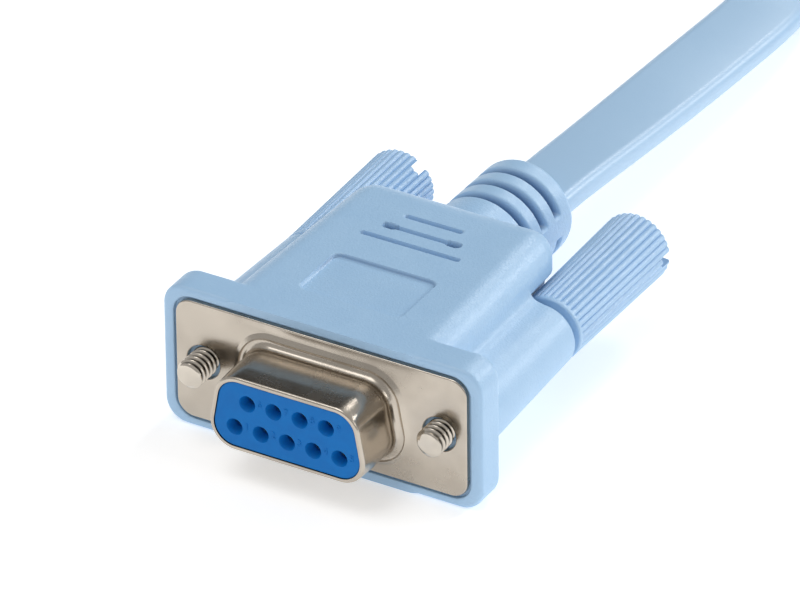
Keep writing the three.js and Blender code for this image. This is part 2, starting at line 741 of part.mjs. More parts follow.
const plug = new THREE.Group();
plug.add(piece('plug_body', plugBlock().add(plugLatch()), plastic(CLEAR_PLASTIC, 0.15)));
for (let i = 0; i < PLUG_CONTACTS; i += 1) {
  plug.add(piece(`plug_contact_${i + 1}`, plugBlade(i), gold));
}
plug.position.set(plugX, plugPlace, PLUG_HEIGHT / 2);

const model = new THREE.Group();
model.add(connector, cable, plug);
model.position.y = -(RELIEF_END - SHELL_REACH) / 2;

export default model;
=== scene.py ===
import logging
import math
from dataclasses import dataclass
from enum import Enum
from typing import Any, Callable, Iterable, Sequence

import bmesh
import bpy
import numpy as np
from mathutils import Matrix, Vector
from mathutils.geometry import delaunay_2d_cdt


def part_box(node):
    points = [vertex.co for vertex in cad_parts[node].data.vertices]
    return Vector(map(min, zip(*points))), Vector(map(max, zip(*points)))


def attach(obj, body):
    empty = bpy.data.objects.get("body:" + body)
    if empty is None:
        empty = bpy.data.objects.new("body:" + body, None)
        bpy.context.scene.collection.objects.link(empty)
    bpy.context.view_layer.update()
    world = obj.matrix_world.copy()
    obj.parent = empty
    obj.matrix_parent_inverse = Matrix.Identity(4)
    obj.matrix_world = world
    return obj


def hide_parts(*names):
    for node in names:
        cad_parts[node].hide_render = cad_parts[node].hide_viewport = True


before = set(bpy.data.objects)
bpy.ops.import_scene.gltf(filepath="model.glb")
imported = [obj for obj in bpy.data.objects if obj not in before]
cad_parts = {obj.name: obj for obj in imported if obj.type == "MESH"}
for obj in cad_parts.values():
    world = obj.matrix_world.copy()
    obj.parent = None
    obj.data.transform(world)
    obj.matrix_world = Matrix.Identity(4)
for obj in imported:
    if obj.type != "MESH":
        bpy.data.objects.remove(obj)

LOG = logging.getLogger("console_cable")
MM = 0.001
HALF_TURN = math.pi
FULL_TURN = 2 * math.pi
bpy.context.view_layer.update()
Array = np.ndarray


# Places

@dataclass(frozen=True)
class Connector:
    """The D connector's own axes, in millimetres from the middle of its flange's front face."""

    shell_reach: float = 6.15
    screw_x: float = 12.495
    flange_width: float = 30.81
    flange_height: float = 12.55
    flange_corner: float = 1.7
    sheet: float = 0.5
    sleeve_end: float = 19.5
    relief_end: float = 38.5
    relief_rise: float = 0.2

    def origin(self) -> Array:
        """The flange's middle in the frame, in millimetres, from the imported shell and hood."""
        shell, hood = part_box("front_shell"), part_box("hood")
        return np.array([
            0.5 * (hood[0][0] + hood[1][0]) / MM,
            shell[0][1] / MM + self.shell_reach,
            0.5 * (hood[0][2] + hood[1][2]) / MM,
        ])


CONNECTOR = Connector()
ORIGIN = CONNECTOR.origin()


def to_frame(points: Array) -> Array:
    """Turns points in millimetres on the connector's axes into metres in the frame.

    Args:
        points: An array whose last axis is x, y, z.

    Returns:
        The same points in metres.
    """
    return (np.asarray(points, dtype=float) + ORIGIN) * MM


# Shader nodes

class Socket:
    """A node's output, on which arithmetic adds Math nodes."""

    def __init__(self, tree: "Tree", socket: bpy.types.NodeSocket) -> None:
        """Keeps the tree that the socket is in, and the socket."""
        self.tree = tree
        self.socket = socket

    def _math(self, operation: str, *values: Any) -> "Socket":
        """Adds a Math node for the operation on the values."""
        return self.tree.node("ShaderNodeMath", {"operation": operation}, dict(enumerate(values)))

    def __add__(self, other: Any) -> "Socket":
        """self + other"""
        return self._math("ADD", self, other)

    __radd__ = __add__

    def __mul__(self, other: Any) -> "Socket":
        """self * other"""
        return self._math("MULTIPLY", self, other)

    __rmul__ = __mul__

    def smooth(self, low: float, high: float) -> "Socket":
        """0 below low, 1 above high, and a smooth step between them."""
        return self.tree.node(
            "ShaderNodeMapRange",
            {"interpolation_type": "SMOOTHSTEP"},
            {"Value": self, "From Min": low, "From Max": high},
        )


class Tree:
    """The node tree of a material or world, with one method that adds any node."""

    def __init__(self, name: str, kept_in: Any = None) -> None:
        """Makes an empty material of that name, or a world when its collection is given."""
        self.owner = (bpy.data.materials if kept_in is None else kept_in).new(name)
        self.owner.use_nodes = True
        self.nodes = self.owner.node_tree.nodes
        self.links = self.owner.node_tree.links
        self.nodes.clear()

    def node(
        self,
        kind: str,
        settings: dict[str, Any] | None = None,
        inputs: dict[Any, Any] | None = None,
        output: Any = 0,
    ) -> Socket:
        """Adds a node.

        Args:
            kind: The node's type.
            settings: Its properties, set before its sockets.
            inputs: Values or Sockets by the input's name or number.
            output: The output to return, by name or number.

        Returns:
            The output, wrapped.
        """
        made = self.nodes.new(kind)
        for key, value in (settings or {}).items():
            setattr(made, key, value)
        for key, value in (inputs or {}).items():
            if isinstance(value, Socket):
                self.links.new(value.socket, made.inputs[key])
            elif value is not None:
                made.inputs[key].default_value = value
        return Socket(self, made.outputs[output])

    def noise(self, at: Socket, scale: float, detail: float = 2.0, rough: float = 0.5) -> Socket:
        """A noise from 0 to 1 at a place, with a scale in waves a metre."""
        return self.node("ShaderNodeTexNoise", {}, {
            "Vector": at, "Scale": scale, "Detail": detail, "Roughness": rough,
        })

    def blend(self, share: Socket, one: Any, two: Any) -> Socket:
        """Mixes two colours by a share."""
        made = self.nodes.new("ShaderNodeMix")
        made.data_type = "RGBA"
        named = {s.identifier: s for s in made.inputs}
        for key, value in (("Factor_Float", share), ("A_Color", one), ("B_Color", two)):
            if isinstance(value, Socket):
                self.links.new(value.socket, named[key])
            else:
                named[key].default_value = value
        out = next(s for s in made.outputs if s.identifier == "Result_Color")
        return Socket(self, out)

    def painted_shade(self) -> Socket:
        """The painted shade that a mesh carries in its hollows, from 0 to 1, and 0 where it has none."""
        return self.node("ShaderNodeAttribute", {"attribute_name": "painted_shade"}, output="Fac")

    def place(self) -> Socket:
        """The surface's place in metres."""
        return self.node("ShaderNodeTexCoord", output="Object")

    def surface(self, inputs: dict[str, Any]) -> bpy.types.Material:
        """Ends the material in a Principled shader with these inputs, and returns it."""
        shader = self.node("ShaderNodeBsdfPrincipled", {}, inputs, "BSDF")
        self.node_output(shader)
        return self.owner

    def node_output(self, shader: Socket, kind: str = "ShaderNodeOutputMaterial") -> None:
        """Joins a shader to an output of that kind."""
        made = self.nodes.new(kind)
        self.links.new(shader.socket, made.inputs["Surface"])


Colour = tuple[float, float, float, float]


def grey(value: float) -> Colour:
    """A grey of one value."""
    return (value, value, value, 1.0)


@dataclass(frozen=True)
class MouldedVinyl:
    """Matte moulded vinyl: fine spark-eroded grain, faint mottling, a soft sheen and painted shade in its
    hollows.
    """

    name: str
    colour: Colour
    deep: Colour
    roughness: float = 0.42
    # Painted shade: the deep blue that the mesh's marked hollows are darkened towards.
    painted_shade: Colour = (0.006, 0.070, 0.240, 1.0)
    grain: float = 4200.0
    grain_height: float = 0.00005
    mottle: float = 240.0

    def make(self) -> bpy.types.Material:
        """Builds the material: noise mixes two blues, the mesh's marks paint shade into its hollows, and
        finer noise gives grain and gloss.
        """
        tree = Tree(self.name)
        at = tree.place()
        cloud = tree.noise(at, self.mottle, 3.0, 0.55).smooth(0.3, 0.7)
        fine = tree.noise(at, self.grain, 3.0, 0.6)
        bump = tree.node("ShaderNodeBump", {}, {
            "Strength": 1.0, "Distance": self.grain_height, "Height": fine,
        })
        return tree.surface({
            # Painted shade: the mesh's marks blend its hollows towards the deep blue.
            "Base Color": tree.blend(
                tree.painted_shade(), tree.blend(cloud, self.deep, self.colour), self.painted_shade),
            "Roughness": fine * 0.36 + (self.roughness - 0.2),
            "Specular IOR Level": 0.85,
            "Normal": bump,
        })


@dataclass(frozen=True)
class PlatedMetal:
    """Plated sheet metal: a warm bright plate with fine grain, duller patches and painted shade in its
    hollows.
    """

    name: str
    colour: Colour
    dull: Colour
    roughness: float = 0.24
    grain: float = 3800.0
    draw_height: float = 0.0
    # Painted shade: the near black that the mesh's marked hollows are darkened towards.
    painted_shade: Colour = (0.02, 0.018, 0.015, 1.0)

    def make(self) -> bpy.types.Material:
        """Builds the material: broad noise dulls the plate, fine noise roughens it, and the mesh's marks
        paint shade into its hollows.

        Long waves across, as drawing leaves them, bend the reflections into streaks.
        """
        tree = Tree(self.name)
        at = tree.place()
        long = tree.node("ShaderNodeMapping", {}, {"Vector": at, "Scale": (0.16, 1.0, 1.0)})
        waves = tree.node("ShaderNodeBump", {}, {
            "Strength": 1.0, "Distance": self.draw_height, "Height": tree.noise(long, 520.0, 1.5, 0.4),
        })
        patch = tree.noise(at, 150.0, 3.0, 0.6).smooth(0.35, 0.75)
        fine = tree.noise(at, self.grain, 2.0, 0.6)
        bump = tree.node("ShaderNodeBump", {}, {
            "Strength": 0.25, "Distance": 0.000006, "Height": fine, "Normal": waves,
        })
        return tree.surface({
            # Painted shade: the mesh's marks blend its hollows towards near black.
            "Base Color": tree.blend(tree.painted_shade(), tree.blend(patch, self.colour, self.dull), self.painted_shade),
            "Metallic": 1.0,
            "Roughness": patch * 0.08 + fine * 0.06 + (self.roughness - 0.05),
            "Normal": bump,
        })


@dataclass(frozen=True)
class SatinPlastic:
    """Satin plastic with faint flow marks."""

    name: str
    colour: Colour
    deep: Colour
    roughness: float = 0.4
    flow: float = 700.0
    gloss: float = 0.5

    def make(self) -> bpy.types.Material:
        """Builds the material: noise mixes two shades and gives a faint bump."""
        tree = Tree(self.name)
        at = tree.place()
        flow = tree.noise(at, self.flow, 3.0, 0.6)
        bump = tree.node("ShaderNodeBump", {}, {"Strength": 0.3, "Distance": 0.00001, "Height": flow})
        return tree.surface({
            "Base Color": tree.blend(flow.smooth(0.3, 0.7), self.deep, self.colour),
            "Roughness": flow * 0.12 + (self.roughness - 0.06),
            "Specular IOR Level": self.gloss,
            "Normal": bump,
        })


@dataclass(frozen=True)
class ClearPlastic:
    """Clear polycarbonate with faint flow marks in its gloss."""

    name: str
    colour: Colour = (0.93, 0.95, 0.96, 1.0)

    def make(self) -> bpy.types.Material:
        """Builds the material: mostly let through, with a slightly uneven gloss."""
        tree = Tree(self.name)
        flow = tree.noise(tree.place(), 400.0, 2.0, 0.5)
        return tree.surface({
            "Base Color": self.colour,
            "Roughness": flow * 0.08 + 0.04,
            "Transmission Weight": 0.85,
            "IOR": 1.45,
        })


HOOD_BLUE = MouldedVinyl("hood_vinyl", (0.378, 0.585, 0.815, 1.0), (0.358, 0.564, 0.797, 1.0))
KNOB_BLUE = MouldedVinyl("knob_vinyl", (0.372, 0.575, 0.815, 1.0), (0.352, 0.555, 0.797, 1.0), 0.4)
CABLE_BLUE = MouldedVinyl(
    "cable_vinyl", (0.400, 0.592, 0.800, 1.0), (0.385, 0.577, 0.788, 1.0), 0.4,
    grain=2600.0, grain_height=0.000006, mottle=90.0,
)
NICKEL = PlatedMetal("nickel_plate", (0.54, 0.485, 0.415, 1.0), (0.45, 0.40, 0.34, 1.0), draw_height=0.00006)
SCREW_NICKEL = PlatedMetal("screw_plate", (0.66, 0.60, 0.52, 1.0), (0.50, 0.46, 0.40, 1.0), 0.14)
INSULATOR_BLUE = SatinPlastic(
    "insulator_blue", (0.001, 0.165, 0.520, 1.0), (0.001, 0.150, 0.490, 1.0), 0.5, 700.0, 0.2,
)
GOLD = PlatedMetal("contact_gold", (0.85, 0.60, 0.25, 1.0), (0.75, 0.52, 0.20, 1.0), 0.25)
TIE_WHITE = SatinPlastic("tie_white", (0.82, 0.82, 0.79, 1.0), (0.76, 0.76, 0.73, 1.0))
CLEAR = ClearPlastic("plug_clear")


# Meshes

def grid_faces(rows: int, columns: int, wrap: bool = True, first: int = 0) -> Array:
    """Quads of a grid of points, numbered row by row.

    Args:
        rows: How many rows of points there are.
        columns: How many points a row has.
        wrap: Whether each row is a closed ring.
        first: The number of the grid's first point.

    Returns:
        An array of four point numbers a face.
    """
    r = np.arange(rows - 1)[:, None]
    c = np.arange(columns if wrap else columns - 1)[None, :]
    after = (c + 1) % columns
    a, b = r * columns + c, r * columns + after
    d, e = (r + 1) * columns + after, (r + 1) * columns + c
    return np.stack([a, b, d, e], axis=-1).reshape(-1, 4) + first


def fan_faces(centre: int, ring: int, columns: int, turn: bool) -> Array:
    """Triangles from one point to a ring of points, which starts at the number ring."""
    c = np.arange(columns)
    after = (c + 1) % columns
    pair = (ring + after, ring + c) if turn else (ring + c, ring + after)
    return np.stack([np.full(columns, centre), *pair], axis=-1)


def signed_volume(points: Array, faces: Sequence[Sequence[int]]) -> float:
    """Six times the volume inside a closed mesh: positive where its faces point outwards."""
    total = 0.0
    for size in (3, 4):
        block = np.array([f for f in faces if len(f) == size], dtype=int)
        for k in range(1, size - 1):
            if len(block):
                p, q, r = points[block[:, 0]], points[block[:, k]], points[block[:, k + 1]]
                total += float(np.einsum("ij,ij->i", p, np.cross(q, r)).sum())
    return total


@dataclass
class Part:
    """A mesh in the making: points in millimetres on the connector's axes, and faces."""

    points: Array
    faces: list[list[int]]
    shade: Array | None = None

    @staticmethod
    def loft(rings: Array, ends: tuple[bool, bool] = (True, True)) -> "Part":
        """Skin over a row of rings.

        Args:
            rings: Points by ring and by place round it.
            ends: Whether the first and last rings are closed by a fan.

        Returns:
            The skin, faces outwards where both ends are closed.
        """
        rows, columns = rings.shape[:2]
        points = rings.reshape(-1, 3)
        faces = grid_faces(rows, columns).tolist()
        for end, turn, closed in ((0, True, ends[0]), (rows - 1, False, ends[1])):
            if closed:
                points = np.vstack([points, rings[end].mean(axis=0)])
                faces += fan_faces(len(points) - 1, end * columns, columns, turn).tolist()
        part = Part(points, faces)
        return part.outward() if all(ends) else part

    @staticmethod
    def torus(rings: Array) -> "Part":
        """Skin over rings that close on themselves, faces outwards."""
        rows, columns = rings.shape[:2]
        closed = np.concatenate([rings, rings[:1]])
        faces = grid_faces(rows + 1, columns) % (rows * columns)
        return Part(closed[:rows].reshape(-1, 3), faces.tolist()).outward()

    def outward(self) -> "Part":
        """Turns every face round if the closed mesh is inside out."""
        if signed_volume(self.points, self.faces) < 0:
            self.faces = [face[::-1] for face in self.faces]
        return self

    def moved(self, shift: Sequence[float]) -> "Part":
        """The part, moved by a shift in millimetres."""
        self.points = self.points + np.asarray(shift, dtype=float)
        return self

    def shaded(self, shade: Array, before: int = 0) -> "Part":
        """The part, with painted shade marked from 0 to 1 in its hollows, which its finish darkens.

        Args:
            shade: The painted shade of each point of the rings.
            before: How many of the part's first points have no mark.
        """
        self.shade = np.zeros(len(self.points))
        self.shade[before:before + shade.size] = shade.ravel()
        return self

    def __add__(self, other: "Part") -> "Part":
        """Both parts in one mesh."""
        start = len(self.points)
        return Part(
            np.vstack([self.points, other.points]),
            self.faces + [[start + i for i in face] for face in other.faces],
        )


def merged(parts: Iterable[Part]) -> Part:
    """All the parts in one mesh."""
    kept = list(parts)
    whole = kept[0]
    for part in kept[1:]:
        whole = whole + part
    return whole


def make_object(
    name: str,
    part: Part,
    material: bpy.types.Material,
    sharp: float = 38.0,
    weld: bool = False,
) -> bpy.types.Object:
    """Makes a smooth-shaded object of a part.

    Args:
        name: The object's name.
        part: Its points and faces.
        material: Its finish.
        sharp: The angle in degrees above which an edge is sharp.
        weld: Whether points at one place are merged and normals recalculated.

    Returns:
        The object, at the origin.
    """
    mesh = bpy.data.meshes.new(name)
    mesh.from_pydata(to_frame(part.points), [], part.faces)
    # Painted shade: the part's marks of its hollows go on the mesh for its finish to darken.
    if part.shade is not None:
        mesh.attributes.new("painted_shade", "FLOAT", "POINT").data.foreach_set("value", part.shade)
    if weld:
        shape = bmesh.new()
        shape.from_mesh(mesh)
        bmesh.ops.remove_doubles(shape, verts=shape.verts, dist=0.002 * MM)
        bmesh.ops.recalc_face_normals(shape, faces=shape.faces)
        shape.to_mesh(mesh)
        shape.free()
    mesh.materials.append(material)
    mesh.validate()
    mesh.shade_smooth()
    mesh.set_sharp_from_angle(angle=math.radians(sharp))
    made = bpy.data.objects.new(name, mesh)
    bpy.context.scene.collection.objects.link(made)
    return made


def cut_by(made: bpy.types.Object, cutters: Sequence[Part], sharp: float = 38.0) -> None:
    """Cuts closed parts out of an object and applies the cut.

    Args:
        made: The object that is cut.
        cutters: Closed parts.
        sharp: The angle in degrees above which an edge is sharp.
    """
    for index, part in enumerate(cutters):
        cutter = make_object(f"{made.name}_cutter_{index}", part, made.data.materials[0])
        modifier = made.modifiers.new("cut", "BOOLEAN")
        modifier.operation, modifier.solver, modifier.object = "DIFFERENCE", "EXACT", cutter
        bpy.context.view_layer.update()
        solid = made.evaluated_get(bpy.context.evaluated_depsgraph_get())
        mesh = bpy.data.meshes.new_from_object(solid)
        made.modifiers.clear()
        old, made.data = made.data, mesh
        mesh.name = made.name
        bpy.data.meshes.remove(old)
        bpy.data.objects.remove(cutter)
    made.data.shade_smooth()
    made.data.set_sharp_from_angle(angle=math.radians(sharp))


# Outlines, as arrays of x and z

def arc(cx: float, cz: float, radius: float, start: float, end: float, steps: int) -> Array:
    """Points of an arc: the centre plus the radius times cosine and sine of an even run of angles."""
    angle = np.linspace(start, end, steps + 1)
    return np.column_stack([cx + radius * np.cos(angle), cz + radius * np.sin(angle)])


def rounded_rectangle(width: float, height: float, corner: float, steps: int = 10) -> Array:
    """Four quarter arcs, joined by straight sides."""
    x, z, quarter = width / 2 - corner, height / 2 - corner, HALF_TURN / 2
    return np.vstack([
        arc(sx * x, sz * z, corner, k * quarter, (k + 1) * quarter, steps)
        for k, (sx, sz) in enumerate(((1, 1), (-1, 1), (-1, -1), (1, -1)))
    ])


def circle(radius: float, steps: int) -> Array:
    """A ring of points on a circle."""
    return arc(0, 0, radius, 0, FULL_TURN, steps)[:-1]


def quarter_turn(steps: int) -> Array:
    """Cosine and sine over a quarter turn."""
    return arc(0, 0, 1, 0, HALF_TURN / 2, steps)


@dataclass(frozen=True)
class DOutline:
    """The connector's D: a rectangle with sides slanted by 10 degrees and round corners."""

    width: float = 16.33
    height: float = 7.9
    corner: float = 2.6
    angle: float = math.radians(10)
    steps: int = 14

    def ring(self, offset: float) -> Array:
        """The outline grown outwards by an offset, as x and z, wide side down."""
        z, tilt, quarter = self.height / 2 - self.corner, self.angle, HALF_TURN / 2
        slant = self.corner / math.cos(tilt)
        middle = self.width / 2 - z * math.tan(tilt) + slant - self.corner
        low, high = middle + z * math.tan(tilt) - slant, middle - z * math.tan(tilt) - slant
        radius = self.corner + offset
        corners = (
            (low, -z, -quarter, tilt), (high, z, tilt, quarter),
            (-high, z, quarter, HALF_TURN - tilt), (-low, -z, HALF_TURN - tilt, 3 * quarter),
        )
        return np.vstack([arc(x, y, radius, a, b, self.steps) for x, y, a, b in corners])


D_OUTLINE = DOutline()


def ring_at(outline: Array, y: float) -> Array:
    """An outline set at one y, as x, y, z."""
    return np.column_stack([outline[:, 0], np.full(len(outline), y), outline[:, 1]])


def polar_rings(radius: Array, y: Array, angle: Array) -> Array:
    """Rings round the y axis, from the radius at each place along y and each angle."""
    return np.stack([
        radius * np.cos(angle), np.broadcast_to(y, radius.shape), radius * np.sin(angle),
    ], axis=-1)


def strip(outlines: Sequence[Array], places: Sequence[float]) -> Part:
    """Open skin through outlines of equal length, each at its own y."""
    rings = np.stack([ring_at(outline, y) for outline, y in zip(outlines, places)])
    return Part.loft(rings, (False, False))


def inside(points: Array, loop: Array) -> Array:
    """Whether each point lies inside a closed loop, by the crossings of a ray."""
    x, z = points[:, 0][:, None], points[:, 1][:, None]
    a, b = loop, np.roll(loop, -1, axis=0)
    rise = np.where(np.abs(b[:, 1] - a[:, 1]) < 1e-12, 1e-12, b[:, 1] - a[:, 1])
    spans = (a[:, 1] > z) != (b[:, 1] > z)
    reach = a[:, 0] + (z - a[:, 1]) * (b[:, 0] - a[:, 0]) / rise
    return np.logical_xor.reduce(spans & (x < reach), axis=1)


def flat_face(outer: Array, holes: Sequence[Array], y: float) -> Part:
    """Flat face across y between an outer loop and the loops of its holes.

    Args:
        outer: The outer loop's x and z.
        holes: Each hole's x and z.
        y: Where the face lies.

    Returns:
        Triangles whose corners are the loops' own points.
    """
    loops = [outer, *holes]
    points = np.vstack(loops)
    starts = np.cumsum([0] + [len(loop) for loop in loops])
    edges = np.vstack([
        np.column_stack([np.arange(n), (np.arange(n) + 1) % n]) + start
        for start, n in zip(starts, (len(loop) for loop in loops))
    ])
    found = delaunay_2d_cdt([Vector(p) for p in points], edges.tolist(), [], 0, 1e-7)
    corners, triangles = np.array(found[0]), np.array(found[2])
    middles = corners[triangles].mean(axis=1)
    keep = inside(middles, outer)
    for hole in holes:
        keep &= ~inside(middles, hole)
    return Part(ring_at(corners, y), triangles[keep].tolist())


# Distances, for the moulded hood

def box_distance(x: Array, z: Array, half_x: Any, half_z: float, corner: float) -> Array:
    """Distance to a rectangle with round corners: to the inner rectangle, less the corner."""
    dx, dz = np.abs(x) - (half_x - corner), np.abs(z) - (half_z - corner)
    outside = np.hypot(np.maximum(dx, 0), np.maximum(dz, 0))
    return outside + np.minimum(np.maximum(dx, dz), 0) - corner


def round_cut(a: Array, b: Array, radius: float) -> Array:
    """Where two distances are both kept, with the edge between them rounded by a radius."""
    u, v = a + radius, b + radius
    return np.minimum(np.maximum(u, v), 0) + np.hypot(np.maximum(u, 0), np.maximum(v, 0)) - radius


def soft_join(a: Array, b: Array, width: float) -> Array:
    """The nearer of two distances, blended over a width: a fillet where they meet."""
    share = np.clip(0.5 + 0.5 * (b - a) / width, 0, 1)
    return b + (a - b) * share - width * share * (1 - share)


def smooth_step(value: Array) -> Array:
    """0 below 0, 1 above 1, and 3t^2 - 2t^3 between."""
    t = np.clip(value, 0, 1)
    return t * t * (3 - 2 * t)


@dataclass
class Hood:
    """Moulded hood: bezel, body, two screw sleeves and the strain relief, in one skin.

    The skin is a function of y and of the angle about the connector's axis. At each pair the
    radius is where the distance field below changes sign, found by halving.
    """

    bezel_half: tuple[float, float] = (16.85, 7.46)
    bezel_corner: float = 2.3
    bezel_front: float = 0.15
    bezel_rear: float = 3.9
    bezel_edges: tuple[float, float] = (0.45, 0.8)
    recess_gap: float = 0.3
    recess_floor: float = 0.56
    body_halves: tuple[float, float] = (11.7, 10.6)
    body_edge: float = 2.7
    body_end: float = 27.0
    body_round: float = 3.7
    sleeve_radii: tuple[float, float] = (3.9, 3.32)
    sleeve_edge: float = 0.15
    sleeve_fillet: float = 1.8
    well_radius: float = 3.88
    well_edge: float = 0.25
    relief_radii: tuple[float, float] = (5.25, 5.05)
    relief_edge: float = 0.8
    relief_fillet: float = 0.7
    grooves: tuple[float, ...] = (30.0, 32.6, 35.15)
    groove_width: float = 1.25
    groove_depth: float = 1.35
    groove_front: float = 0.06
    web_middle: float = 0.5
    web_half: float = 1.0
    web_fade: float = 0.45
    collar_end: float = 39.5
    collar_half: tuple[float, float] = (3.95, 1.4)
    collar_edge: float = 0.12
    collar_fillet: float = 1.6
    label: tuple[float, float, float] = (10.9, 7.0, 0.9)
    label_middle: float = 8.8
    label_depth: float = 0.35
    label_step: float = 0.2
    grips: tuple[tuple[float, float], ...] = ((16.52, 10.5), (18.72, 8.2), (20.92, 6.1))
    grip_half: float = 0.275
    grip_depth: float = 0.4
    grip_step: float = 0.14
    pocket: tuple[float, float, float] = (1.5, 0.85, 1.2)
    pocket_step: float = 0.16
    reach: float = 22.0
    halvings: int = 26

    def distance(self, x: Array, y: Array, z: Array) -> Array:
        """Distance to the hood's skin, less than 0 inside it.

        Args:
            x: Millimetres across.
            y: Millimetres back from the flange.
            z: Millimetres up from the axis.

        Returns:
            The distance in millimetres.
        """
        bezel = box_distance(x, z, *self.bezel_half, self.bezel_corner)
        bezel = round_cut(bezel, self.bezel_front - y, self.bezel_edges[0])
        bezel = round_cut(bezel, y - self.bezel_rear, self.bezel_edges[1])
        share = np.clip((y - self.bezel_rear) / (self.body_end - self.bezel_rear), 0, 1)
        half = self.body_halves[0] + (self.body_halves[1] - self.body_halves[0]) * share
        body = box_distance(x, z, half, self.bezel_half[1], self.body_edge)
        body = round_cut(body, y - self.body_end, self.body_round)
        aside = np.hypot(np.abs(x) - CONNECTOR.screw_x, z)
        taper = np.clip((y - self.bezel_rear) / (CONNECTOR.sleeve_end - self.bezel_rear), 0, 1)
        sleeve = aside - (self.sleeve_radii[0] + (self.sleeve_radii[1] - self.sleeve_radii[0]) * taper)
        sleeve = round_cut(sleeve, y - CONNECTOR.sleeve_end, self.sleeve_edge)
        well = np.where(y > CONNECTOR.sleeve_end, self.well_radius - aside, -1e3)
        sides = np.where(y > CONNECTOR.sleeve_end, body, soft_join(body, sleeve, self.sleeve_fillet))
        sides = round_cut(sides, well, self.well_edge)
        sides = np.maximum(sides, self.bezel_front - y)
        return np.minimum(bezel, soft_join(sides, self.relief(x, y, z), self.relief_fillet))

    def drop(self, y: Array, rise: Array) -> Array:
        """Depth of the relief's grooves: a sharp front, a floor and a steep rounded rear.

        The webs at both sides leave the grooves open above and below only.
        """
        off_web = np.abs(rise + CONNECTOR.relief_rise - self.web_middle) - self.web_half
        depth = 0 * y + 0 * rise
        for groove in self.grooves:
            t = (y - groove) / self.groove_width
            depth = depth + (1 - smooth_step((t - 0.5) / 0.5)) * smooth_step((y - groove) / self.groove_front)
        return self.groove_depth * depth * smooth_step(off_web / self.web_fade)

    def relief(self, x: Array, y: Array, z: Array) -> Array:
        """Distance to the strain relief, with its grooves and the collar round the cable."""
        rise = z - CONNECTOR.relief_rise
        start = self.body_end - self.body_round
        share = np.clip((y - start) / (CONNECTOR.relief_end - start), 0, 1)
        radius = self.relief_radii[0] + (self.relief_radii[1] - self.relief_radii[0]) * share
        radius = radius - self.drop(y, rise)
        solid = round_cut(np.hypot(x, rise) - radius, y - CONNECTOR.relief_end, self.relief_edge)
        collar = box_distance(x, rise, *self.collar_half, self.collar_half[1] - 0.01)
        collar = round_cut(collar, y - self.collar_end, self.collar_edge)
        return soft_join(solid, collar, self.collar_fillet)

    def sunk(self, x: Array, y: Array) -> tuple[Array, Array]:
        """How far the top is sunk at x and y, for the label, the grip lines and their pockets, and the shade
        painted in them.

        Returns:
            The depth in millimetres, and the painted shade of the hollows, darker towards their rear.
        """
        width, length, corner = self.label
        edge = box_distance(x, y - self.label_middle, width / 2, length / 2, corner)
        depth = self.label_depth * smooth_step(0.5 - edge / self.label_step)
        # Painted shade: a dark line round the label's edge, darker towards its rear.
        behind = smooth_step((y - self.label_middle) / 4 + 0.35)
        painted_shade_mark = 0.5 * smooth_step(1 - np.abs(edge + 0.04) / 0.13) * behind
        for place, span in self.grips:
            line = box_distance(x, y - place, span / 2, self.grip_half, self.grip_half - 0.01)
            here = smooth_step(0.5 - line / self.grip_step)
            depth = np.maximum(depth, self.grip_depth * here)
            # Painted shade in each grip line, darker at its rear half.
            painted_shade_mark = np.maximum(painted_shade_mark, 0.4 * here * smooth_step((y - place) / 0.3 + 0.6))
        place, span = self.grips[1]
        long, wide, deep = self.pocket
        at = np.abs(x) - (span - long) / 2
        hole = box_distance(at, y - place, long / 2, wide / 2, wide / 2 - 0.01)
        here = smooth_step(0.5 - hole / self.pocket_step)
        # Painted shade in the pockets, darker towards their rear side.
        low = smooth_step(0.4 + (y - place) / wide)
        return np.maximum(depth, deep * here), np.maximum(painted_shade_mark, here * (0.3 + 0.65 * low))

    def angles(self) -> Array:
        """Angles about the axis, closest over the marks on top."""
        top = self.bezel_half[1]
        marks = np.arctan2(top, np.linspace(5.9, -5.9, 101))
        rest = np.linspace(marks[-1], marks[0] + FULL_TURN, 224)[1:-1]
        return np.concatenate([marks, rest])

    def places(self) -> Array:
        """Places along y, closest where the skin turns or steps."""
        low, high = self.label_middle - self.label[1] / 2, self.label_middle + self.label[1] / 2
        spans = [
            (self.bezel_front + 0.001, self.bezel_front + self.bezel_edges[0], 8),
            (1.0, self.bezel_rear - self.bezel_edges[1], 4),
            (self.bezel_rear - self.bezel_edges[1], self.bezel_rear - 0.001, 9),
            (self.bezel_rear + 0.02, low - 0.3, 6),
            (low - 0.25, low + 0.25, 8), (low + 0.4, low + 1.3, 8),
            (low + 1.6, high - 1.6, 12), (high - 1.3, high - 0.4, 8), (high - 0.25, high + 0.25, 8),
            (high + 0.5, self.grips[0][0] - 0.6, 8),
            *((place - 0.55, place + 0.55, 16) for place, _ in self.grips),
            (CONNECTOR.sleeve_end - self.sleeve_edge, CONNECTOR.sleeve_end - 0.001, 4),
            (CONNECTOR.sleeve_end + 0.001, CONNECTOR.sleeve_end + 0.3, 3),
            (self.grips[2][0] + 0.7, self.body_end - self.body_round, 5),
            (self.body_end - self.body_round + 0.2, self.body_end - 0.5, 14),
            (self.body_end - 0.4, self.body_end + 0.3, 9), (self.body_end + 0.5, self.grooves[0] - 0.2, 6),
            *((g - 0.03, g + 0.08, 4) for g in self.grooves),
            *((g + 0.14, g + self.groove_width, 14) for g in self.grooves),
            *((g + self.groove_width + 0.2, g + 2.4, 4) for g in self.grooves[:-1]),
            (self.grooves[-1] + self.groove_width + 0.2, CONNECTOR.relief_end - self.relief_edge, 4),
            (CONNECTOR.relief_end - self.relief_edge + 0.05, CONNECTOR.relief_end + 0.35, 16),
            (CONNECTOR.relief_end + 0.45, self.collar_end - 0.15, 6),
            (self.collar_end - 0.12, self.collar_end - 0.002, 5),
        ]
        return np.unique(np.concatenate([np.linspace(a, b, n) for a, b, n in spans]).round(4))

